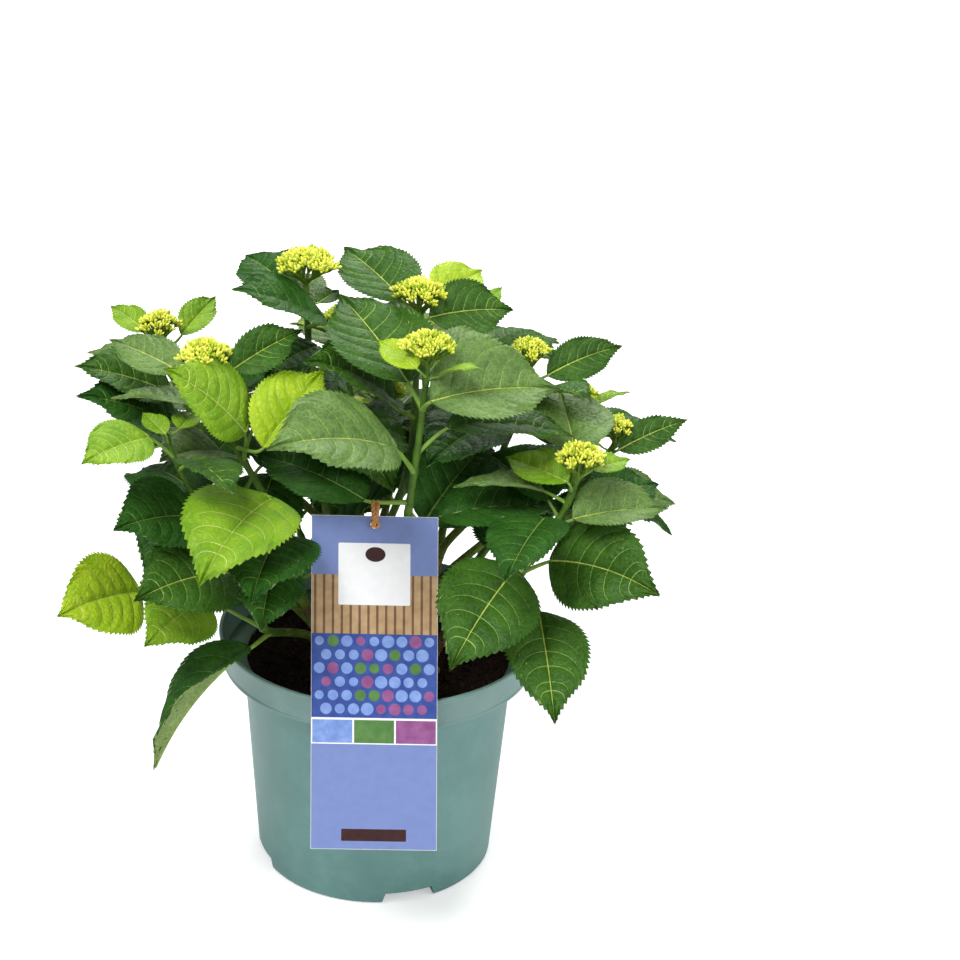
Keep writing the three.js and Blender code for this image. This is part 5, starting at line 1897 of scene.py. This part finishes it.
LEAF_FINISHES = [
    leaf_finish("leaf_dark", (46, 92, 26), (29, 70, 16), 0.5, 0.18),
    leaf_finish("leaf_mid", (60, 102, 27), (43, 81, 18), 0.48, 0.22),
    # Paler, greyer green: partly the leaves' own tone, partly painted sheen
    leaf_finish("leaf_grey_sheen", (102, 136, 64), (80, 112, 50), 0.46, 0.35),
    # Light and lime leaves darken their net lines: painted shade in the grooves between the puffed cells
    leaf_finish("leaf_light", (142, 180, 42), (108, 154, 28), 0.46, 0.25, GROOVE_SHADE),
    leaf_finish("leaf_lime", (184, 210, 48), (150, 188, 32), 0.48, 0.25, GROOVE_SHADE),
    leaf_finish("leaf_vein_pale", (190, 206, 112), (164, 186, 92), 0.5, 0.35),
    leaf_finish("leaf_vein_green", (140, 170, 80), (116, 148, 64), 0.5, 0.35),
    leaf_finish("leaf_vein_dull", (102, 138, 58), (84, 118, 47), 0.5, 0.25),
    leaf_finish("leaf_underside", (134, 158, 94), (112, 138, 76), 0.6, 0.25),
]
STEM_FINISHES = [
    stem_finish("green_stem", (86, 124, 34), (62, 98, 24), (72, 52, 30), 0.22),
    stem_finish("pale_stalk", (138, 176, 72), (112, 150, 54), (110, 120, 50), 0.1),
]
BUD_FINISHES = [
    leaf_finish("bud_yellow", (234, 236, 104), (212, 222, 70), 0.5, 0.4, net=900, depth=0.0001),
    leaf_finish("bud_green", (186, 206, 58), (150, 178, 42), 0.5, 0.4, net=900, depth=0.0001),
    # Rays and bud feet: their own green, made darker to paint the shade in the gaps between the buds
    leaf_finish("ray_green_gap_shade", (106, 138, 38), (80, 110, 28), 0.5, 0.3, net=900, depth=0.0001),
]
POT_FINISHES = [
    plastic_finish("pot_plastic", (105, 151, 146), (93, 138, 134), (148, 174, 169), 0.3),
    # Lighter copy of the pot's plastic: painted light on the collar
    plastic_finish("collar_plastic_painted_light", (123, 156, 152), (112, 146, 142), (154, 176, 172), 0.3),
    # Darker copy of the pot's plastic: painted shade inside the pot
    plastic_finish("inside_plastic_painted_shade", (70, 106, 98), (54, 86, 80), (96, 120, 112), 0.3),
]
CARD_FINISHES = [
    print_finish("card_stock", (238, 238, 236), (228, 228, 228)),
    print_finish("card_lavender", (122, 140, 194), (117, 135, 189)),
    print_finish("card_white", (250, 250, 252), (244, 245, 248)),
    print_finish("card_sand", (196, 166, 128), (176, 144, 106)),
    print_finish("card_bark_brown", (132, 98, 70), (110, 78, 54)),
    print_finish("card_blue", (62, 88, 164), (48, 70, 142)),
    print_finish("card_pale_blue", (140, 168, 224), (112, 142, 208)),
    print_finish("card_lilac", (156, 96, 150), (132, 74, 126)),
    print_finish("card_leaf_green", (96, 140, 76), (74, 118, 58)),
    print_finish("card_brown", (66, 34, 34), (54, 26, 27)),
]


# The shrub's pieces, and the angle from which an edge of each is sharp
LEAF_CREASE = 55
LIMB_CREASE = 60
CARD_CREASE = 30
LEAF_REGIONS = {
    "centre": ("front", "middle", "crown"),
    "left": ("left_front", "left_back", "left_low", "left_skirt"),
    "right": ("right_back", "right_front", "right_far"),
    "rear": ("back_top", "back_left", "back_low", "back_skirt"),
    "rear_right": ("back_right", "right_rear", "rear_skirt"),
}


def show_leaves(leaves):
    chance = np.random.default_rng(LEAF_SEED)
    for region, shoots in LEAF_REGIONS.items():
        pile = Pile()
        for leaf in leaves:
            if leaf.shoot in shoots:
                add_leaf(pile, leaf, chance)
        mesh = pile.mesh("leaves_" + region, LEAF_CREASE)
        show("leaves_" + region, mesh, LEAF_FINISHES, ["foliage_" + name for name in shoots])


def show_stems(leaves):
    stems = Pile()
    for name in SHOOTS:
        add_stem(stems, name, leaves)
    for leaf in leaves:
        add_stalk(stems, leaf)
    show("stems_and_stalks", stems.mesh("stems_and_stalks", LIMB_CREASE), STEM_FINISHES)


def show_clusters():
    buds = Pile()
    chance = np.random.default_rng(BUD_SEED)
    for name, (_, _, _, head, radius, _) in SHOOTS.items():
        if radius:
            ripe = RIPE_BACK if name in GREEN_CLUSTERS else RIPE_FRONT
            add_cluster(buds, head, radius, ripe, chance)
    show("bud_clusters", buds.mesh("bud_clusters", LIMB_CREASE), BUD_FINISHES)


def show_wood():
    canes, boughs = Pile(), Pile()
    for seed, name in enumerate(CANES):
        add_cane(canes, name, seed)
    for seed, name in enumerate(SHOOTS):
        add_bough(boughs, name, FIRST_BOUGH_SEED + seed)
    wood = stem_finish("cane_bark", (134, 112, 74), (92, 76, 48), (66, 48, 34), 0.26, 0.8)
    green_wood = stem_finish("bough_bark", (106, 128, 44), (78, 98, 30), (76, 54, 36), 0.26, 0.65)
    canes, boughs = canes.mesh("canes", LIMB_CREASE), boughs.mesh("boughs", LIMB_CREASE)
    show("canes", canes, [wood], ["cane_" + name for name in CANES])
    show("boughs", boughs, [green_wood], ["bough_" + name for name in SHOOTS])


def show_pot_and_soil():
    show("pot_with_collar", pot_mesh(), POT_FINISHES, ["pot"])
    peat = [
        soil_finish("peat", (44, 27, 22), (18, 12, 10)),
        soil_finish("peat_grain", (84, 50, 38), (44, 27, 22)),
    ]
    show("peat_surface", soil_mesh(), peat, ["soil"])


def show_card():
    card, twine = Pile(), Pile()
    add_holed_sheet(card, 0, 0, CARD_THICK, HOLE_RADIUS, STOCK)
    add_print(card)
    add_twine(twine)
    show("printed_card", card.mesh("printed_card", CARD_CREASE), CARD_FINISHES, ["tag_card"])
    show("twine_loop", twine.mesh("twine_loop", LIMB_CREASE), [twine_finish()], ["tag_loop"])


# Stage, lights and camera
FLOOR_HALF = 9
FLOOR_DROP = 0.0003
FLOOR_GLOW = 0.42
FAR_GLOW = 0.8
SHADOW_REACH = (0.3, 1.4)


def camera_sees(tree):
    """1 for what the camera sees itself, 0 for light that goes round the scene."""
    return tree.nodes.new("ShaderNodeLightPath").outputs["Is Camera Ray"]


def floor_glow(tree):
    """Light of the floor as the camera sees it: less round the pot, where its shadow falls."""
    place = tree.nodes.new("ShaderNodeTexCoord")
    away = node(tree, "ShaderNodeVectorMath", {"operation": "LENGTH"})
    tree.links.new(place.outputs["Object"], away.inputs[0])
    smooth = {"interpolation_type": "SMOOTHSTEP"}
    glow = stretch(tree, away.outputs["Value"], SHADOW_REACH, (FLOOR_GLOW, FAR_GLOW), smooth)
    return combined(tree, "MULTIPLY", glow, camera_sees(tree))


def show_floor():
    mesh = bpy.data.meshes.new("floor")
    corners = ((-1, -1), (1, -1), (1, 1), (-1, 1))
    points = [(FLOOR_HALF * x, FLOOR_HALF * y, -FLOOR_DROP) for x, y in corners]
    mesh.from_pydata(points, [], [(0, 1, 2, 3)])
    floor = bpy.data.objects.new("floor", mesh)
    bpy.context.scene.collection.objects.link(floor)
    made, tree, surface = new_finish("pale_floor", 0.7, 0.2)
    colour_by(tree, surface, tinted(tree, (240, 240, 241), (236, 236, 237), 3).outputs["Colour"])
    surface.inputs["Emission Color"].default_value = (1, 1, 1, 1)
    tree.links.new(floor_glow(tree), surface.inputs["Emission Strength"])
    mesh.materials.append(made)


def area_light(name, at, towards, size, watts):
    data = bpy.data.lights.new(name, "AREA")
    data.shape = "DISK"
    data.size = size
    data.energy = watts
    lamp = bpy.data.objects.new(name, data)
    bpy.context.scene.collection.objects.link(lamp)
    lamp.location = at
    lamp.rotation_euler = (Vector(towards) - Vector(at)).to_track_quat("-Z", "Y").to_euler()


SKY_LIGHT = 0.38
SKY_SEEN = 1.1


def light_scene():
    middle = (0, 0, 0.25)
    area_light("key_light", (-0.9, -1.2, 2.6), middle, 1.5, 66)
    area_light("fill_light", (1.9, -1.3, 1.5), middle, 1.8, 22)
    area_light("back_light", (0.4, 1.9, 2), middle, 1.6, 36)
    world = bpy.data.worlds.new("studio")
    world.use_nodes = True
    tree = world.node_tree
    background = tree.nodes["Background"]
    background.inputs["Color"].default_value = (1, 1, 1, 1)
    glow = stretch(tree, camera_sees(tree), (0, 1), (SKY_LIGHT, SKY_SEEN))
    tree.links.new(glow, background.inputs["Strength"])
    bpy.context.scene.world = world


def plain_colours():
    """Shows each colour as it is, so that a finish looks like its own base colour."""
    bpy.context.scene.view_settings.view_transform = "Standard"


def place_camera():
    """Camera of the photo, by its place and its pitch, yaw and roll."""
    pitch, yaw, roll = (math.radians(a) for a in (CAMERA_PITCH, CAMERA_YAW, CAMERA_ROLL))
    ahead = Vector((math.sin(yaw) * math.cos(pitch), math.cos(yaw) * math.cos(pitch), -math.sin(pitch)))
    right = ahead.cross(Vector((0, 0, 1))).normalized()
    up = right.cross(ahead)
    turned_right = right * math.cos(roll) + up * math.sin(roll)
    turned_up = up * math.cos(roll) - right * math.sin(roll)
    data = bpy.data.cameras.new("photo_camera")
    data.lens = LENS
    data.sensor_width = SENSOR
    data.clip_start = 0.05
    camera = bpy.data.objects.new("photo_camera", data)
    bpy.context.scene.collection.objects.link(camera)
    axes = Matrix((turned_right, turned_up, -ahead)).transposed().to_4x4()
    camera.matrix_world = Matrix.Translation(Vector(CAMERA_AT) * MM) @ axes
    bpy.context.scene.camera = camera


place_camera()
plain_colours()
light_scene()
show_floor()
show_pot_and_soil()
grown = grow_leaves()
show_leaves(grown)
show_stems(grown)
show_clusters()
show_wood()
show_card()
